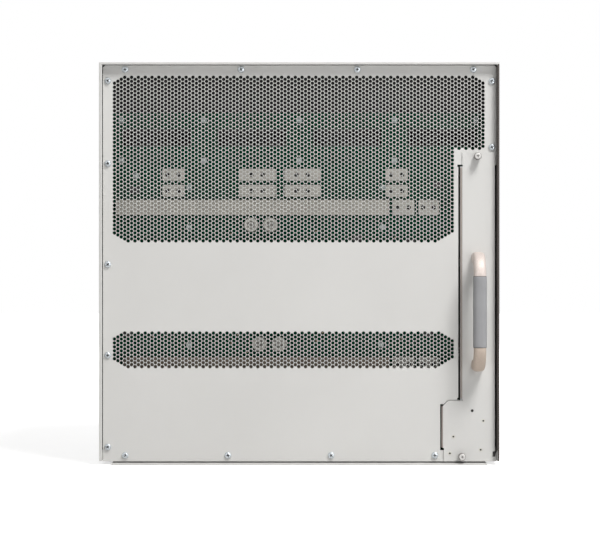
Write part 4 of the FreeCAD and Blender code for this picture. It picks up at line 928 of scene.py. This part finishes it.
class BoardParts(SortedParts):
    """What stands on one card's board; places are (x, y), heights from the board up."""

    def __init__(self, body, low):
        super().__init__(body, {})
        self.base, rest = low + CARD_BOARD_TOP + SKIN, low + CARD_BOARD_REST
        skin, plugs = self.sort("card_board"), self.sort("connector")
        skin.box(CARD_BOARD_X, CARD_BOARD_Y, (self.base - SKIN, self.base))
        skin.box(CARD_BOARD_X, CARD_BOARD_Y, (rest - SKIN, rest))
        for left, right in SLOT_CONNECTORS:
            plugs.box((left - 0.05, right + 0.05), (-149.9, -140.1), (rest - 0.05, low + 18.05))

    def block(self, look, x, y, width, depth, height, lift=0):
        low, width, depth = self.base + lift, width / 2, depth / 2
        self.sort(look).box((x - width, x + width), (y - depth, y + depth), (low, low + height))

    def heat_sink(self, x, y, side, fins):
        self.block("epoxy", x, y, side * 0.8, side * 0.8, 2.4)
        self.block("fin", x, y, side, side, 3, 2.4)
        for k in range(fins):
            self.block("fin", x + side * ((k + 0.5) / fins - 0.5), y, side / fins * 0.32, side, 11, 5.4)

    def can(self, x, y, radius, height):
        low, high = self.base, self.base + height
        self.sort("can").spin([(0, low), (radius * 0.94, low), (radius, low + 0.8), (radius, high - 0.9),
                               (radius * 0.9, high), (0, high)], (x, y, 0), 18, upright=True)

    def passives(self, count, stride_x, stride_y):
        for k in range(count):
            self.block("ceramic", -196 + (k * stride_x) % 352, -120 + (k * stride_y) % 280, 2, 1.2, 0.9)


def make_line_card_board(body, low):
    parts = BoardParts(body, low)
    left = PORTS_LEFT - 0.5
    right = PORTS_LEFT + BLOCK_PITCH * (PORT_BLOCKS - 1) + 26.5
    parts.block("port", (left + right) / 2, 190.5, right - left, 25.5, 30.6)
    for x in (-120, -20, 80):
        parts.heat_sink(x, 20, 58, 14)
        parts.block("epoxy", x - 22, 88, 22, 22, 1.6)
        parts.block("epoxy", x + 14, 88, 22, 22, 1.6)
    for k in range(12):
        parts.block("epoxy", -176 + 29 * k, 150, 16, 12, 2.6)
        parts.block("epoxy", -176 + 29 * k, -62, 11, 18, 1.1)
    for k in range(9):
        parts.can(-180 + 11 * k, -112, 4, 9)
    parts.passives(150, 61.7, 37.9)
    parts.pieces()


def make_supervisor_board(body, low):
    parts = BoardParts(body, low)
    for left, right, tall in ((54, 210, 14.2), (215, 257, 15.2), (289, 306, 9.6)):
        parts.block("port", FACE_LEFT + (left + right) / 2, 191, right - left, 24, tall)
    parts.heat_sink(-80, 10, 74, 18)
    parts.heat_sink(90, 60, 46, 12)
    for k in range(4):                 # memory modules in their sockets
        y = -48 + 12 * k
        parts.block("connector", 60, y, 140, 6.5, 6)
        parts.block("card_board", 60, y, 133, 1.4, 24, 4)
        for j in range(8):
            parts.block("epoxy", 3 + 16.3 * j, y - 1.3, 10, 1.2, 13, 11)
    for k in range(7):
        parts.can(-190 + 13 * k, -112, 5, 11)
        parts.block("epoxy", -176 + 24 * k, 120, 15, 15, 1.6)
    parts.can(140, 120, 8, 3.4)
    parts.passives(120, 47.3, 53.1)
    parts.pieces()


# ---- service side: supplies and blanks

SUPPLY_Z, SUPPLY_HIGH = 394.5, 415.2
SUPPLY_LEFTS = (-211.25, -104.95, 1.35, 107.65)
SUPPLY_WIDTH = 103.6
INLET_FLOOR, PIN_TIP = (190, 190.4), 203
INLET_PINS = ((-7, -1.5), (7, -1.5), (0, 2.5))
SUPPLY_VENTS = ((5, (376.4, 380.2)), (5, (409.4, 412.8)), (39.5, (383.8, 401.2)))
LATCH_FRONT = 210.7
BLANK_LOWS = (280.5, 53.5, 8.1)
BAY_BLANK_Z = 351
FACE_SCREWS = [(212, FACE_Y, z) for z in (20, 167, 314)] + [(x, FACE_Y, 428) for x in (-212, 0, 212)]
FACE_VENTS = [((184, 206), (40, 150), 4.4, 1.5), ((184, 206), (184, 296), 4.4, 1.5),
              ((-206, -20), (424, 432.5), 4, 1.3), ((22, 206), (424, 432.5), 4, 1.3)]


def make_supply(number, left):
    body = f"power_supply_{number}"
    right = left + SUPPLY_WIDTH
    x0, x1 = left + 8.2, left + 34.8
    low, shoulder, high = SUPPLY_Z - 7.6, SUPPLY_Z + 3.4, SUPPLY_Z + 7.6
    mouth = [(x0 + 2, low), (x1 - 2, low), (x1 - 2, shoulder),
             (x1 - 6, high), (x0 + 6, high), (x0 + 2, shoulder)]
    rim = rounded(x0 - 1.8, x1 + 1.8, SUPPLY_Z - 11.8, SUPPLY_Z + 11.8, 1.6)
    socket = Solids().plate([rim, mouth], FACE_Y, FACE_Y + 1)
    socket.box((x0, x1), INLET_FLOOR, (SUPPLY_Z - 10.2, SUPPLY_Z + 10.2))
    socket.piece(f"{body}_inlet_body", "cavity", body)
    pins = [((x0 + x1) / 2 + dx, SUPPLY_Z + dz) for dx, dz in INLET_PINS]
    box_piece(f"{body}_inlet_pins", "port", body,
              [((x - 1, x + 1), (INLET_FLOOR[1], PIN_TIP), (z - 2.2, z + 2.2)) for x, z in pins])
    fields = [((left + start, right - 54), heights, 3.2, 1) for start, heights in SUPPLY_VENTS]
    vent_dots(fields).piece(f"{body}_vents", "cavity", body)
    lamps = Solids()
    for dx in (41, 46):
        lamps.spin([(0, 0), (1.1, 0), (1.1, 0.35), (0.7, 0.7), (0, 0.8)],
                   (left + dx, FACE_Y, SUPPLY_HIGH - 9.5), 14)
    lamps.piece(f"{body}_lamps", "lamp", body)
    ridges = [(SUPPLY_Z - 5.9 + 2.5 * k, SUPPLY_Z - 4.9 + 2.5 * k) for k in range(5)]
    box_piece(f"{body}_latch_ridges", "latch", f"{body}_latch",
              [((right - 51, right - 47), (LATCH_FRONT, LATCH_FRONT + 0.5), z) for z in ridges])
    screws = [(x, FACE_Y, SUPPLY_Z) for x in (left + 3.6, right - 3.6)]
    stamp(f"{body}_screws", SUPPLY_SCREW, screws, "zinc", body, facing="+y")
    lid = [(x, y, SUPPLY_HIGH) for x in (left + 7, right - 7) for y in (-138, -25, 90, 192)]
    stamp(f"{body}_lid_screws", LID_SCREW, lid, "zinc", body, facing="+z")


def make_blanks():
    """Ribs, screws and vents of the slot and bay blanks, the top bezel and the fan bay's front."""
    screws, vents, ribs = [], [], Solids()
    for low in BLANK_LOWS:
        screws += [(x, FACE_Y, low + 22.3) for x in (FACE_LEFT + 7, -19.5, FACE_RIGHT - 7)]
        for x in (FACE_LEFT + 16, -11):
            for z in (low + 9, low + 32.6):
                ribs.plate([rounded(x, x + 181, z, z + 3, 1.4)], FACE_Y, FACE_Y + 0.5)
    for left in SUPPLY_LEFTS:
        screws += [(x, FACE_Y, BAY_BLANK_Z) for x in (left + 5, left + SUPPLY_WIDTH - 5)]
        ribs.plate([rounded(left + 34, left + 70, BAY_BLANK_Z - 4.5, BAY_BLANK_Z + 4.5, 2)],
                   FACE_Y, FACE_Y + 0.8)
        vents += [((x, x + 18), (338, 364), 4, 1.3) for x in (left + 12, left + 74)]
    stamp("service_side_screws", CARD_SCREW, screws + FACE_SCREWS, "zinc", facing="+y")
    ribs.piece("service_side_ribs", "face")
    vent_dots(vents + FACE_VENTS).piece("service_side_vents", "cavity")
    lamp = Solids().spin([(0, 0), (1.4, 0), (1.4, 0.4), (0.9, 0.8), (0, 0.9)], (195, FACE_Y, 306), 16)
    lamp.piece("fan_bay_lamp", "lamp")


# ---- lights and stage, in metres

LAMPS = (       # (name, place, size, power, colour)
    ("key", (1.04, -1.6, 2.6), 1.1, 86, (1, 0.99, 0.975)),
    ("front", (1.15, -2.3, 0.2), 1.7, 12, (0.985, 0.99, 1)),
    ("service", (-0.9, 3.2, 1.6), 2, 56, (1, 1, 1)),
)
LAMP_TARGET = Vector((0, 0, 0.22))
SOFT_LIGHT, SOFT_COLOUR = 0.17, (1, 0.995, 0.985, 1)
WHITE = (1, 1, 1, 1)
FLOOR_REACH, FLOOR_DROP = 9, 0.0002
FLOOR_GREY = (0.8, 0.8, 0.8, 1)
FLOOR_GLOW = {"From Min": 0.5, "From Max": 1.6, "To Min": 0.64, "To Max": 1.2}      # by distance


def make_lamp(name, place, size, power, colour):
    data = bpy.data.lights.new(name, "AREA")
    data.shape, data.size, data.energy, data.color = "DISK", size, power, colour
    lamp = link(bpy.data.objects.new(name, data))
    lamp.location = place
    lamp.rotation_mode = "QUATERNION"
    lamp.rotation_quaternion = (LAMP_TARGET - Vector(place)).to_track_quat("-Z", "Y")


def make_world():
    """White to the camera and in reflections, and a soft light on all else."""
    world = bpy.data.worlds.new("studio")
    scene.world = world
    graph = Graph(world)
    rays = graph.add("LightPath").node.outputs
    seen = graph.math("MAXIMUM", rays["Is Camera Ray"], rays["Is Transmission Ray"])
    seen = graph.math("MAXIMUM", rays["Is Glossy Ray"], seen)
    soft = graph.add("Background", {"Color": SOFT_COLOUR, "Strength": SOFT_LIGHT})
    white = graph.add("Background", {"Color": WHITE, "Strength": 1})
    graph.add("OutputWorld", {0: graph.add("MixShader", {0: seen, 1: soft, 2: white})})


def make_floor():
    """A floor that keeps the part's shadow and glows towards white away from it."""
    mesh = bpy.data.meshes.new("floor")
    mesh.from_pydata([(x * FLOOR_REACH, y * FLOOR_REACH, 0) for x, y in ((-1, -1), (1, -1), (1, 1), (-1, 1))],
                     [], [(0, 1, 2, 3)])
    floor = link(bpy.data.objects.new("floor", mesh))
    floor.location = (0, 0, -FLOOR_DROP)
    floor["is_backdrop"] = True
    material = bpy.data.materials.new("floor_white")
    graph = Graph(material)
    place = graph.add("NewGeometry", out="Position")
    away = graph.add("VectorMath", {0: place}, "Value", operation="LENGTH")
    fade = graph.add("MapRange", {"Value": away, **FLOOR_GLOW})
    strength = graph.math("MULTIPLY", graph.add("LightPath", out="Is Camera Ray"), fade)
    glow = graph.add("Emission", {"Color": WHITE, "Strength": strength})
    diffuse = graph.add("BsdfDiffuse", {"Color": FLOOR_GREY})
    graph.add("OutputMaterial", {0: graph.add("AddShader", {0: diffuse, 1: glow})})
    mesh.materials.append(material)


# ---- looks of the carried-over solids

# A node takes the first look that has a word of its name.
NODE_LOOKS = (
    ("zinc", "screw"), ("lever", "lever"), ("latch", "latch"), ("supply", "power_supply"),
    ("fan", "rotor frames"), ("card_face", "supervisor line_card"), ("face", "blank bezel front_plate"),
    ("handle", "handle"), ("grip", "grip"), ("shell", "top_cover intake_side"),
    ("dark_edged", "exhaust_side"), ("sheet", "base floor_pan panel tray_cover"),
    ("inner", "guide shelf partition roof case"), ("board", "backplane"),
    ("bar", "upper_busbar"), ("bare_bar", "lower_busbar"), ("tin", "terminal"),
    ("pale_connector", "power_conn"), ("connector", "connector"),
)


def dress_nodes():
    for name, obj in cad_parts.items():
        look = next(look for look, words in NODE_LOOKS if any(word in name for word in words.split()))
        obj.data.materials.clear()
        obj.data.materials.append(LOOKS[look])


# ---- the whole scene

dress_nodes()
make_rear_panel()
make_screws()
make_tails()
make_board_parts()
make_terminals()
make_board_screws()
make_strips()
make_tray_cover()
make_handle()
make_thumbscrews()
for body, low in LINE_CARDS:
    make_line_card(body, low)
    make_line_card_board(body, low)
for body, low in SUPERVISORS:
    make_supervisor(body, low)
    make_supervisor_board(body, low)
for number, left in enumerate(SUPPLY_LEFTS, 1):
    make_supply(number, left)
make_blanks()
make_world()
make_floor()
for lamp in LAMPS:
    make_lamp(*lamp)
scene.view_settings.view_transform = "Standard"

low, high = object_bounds()
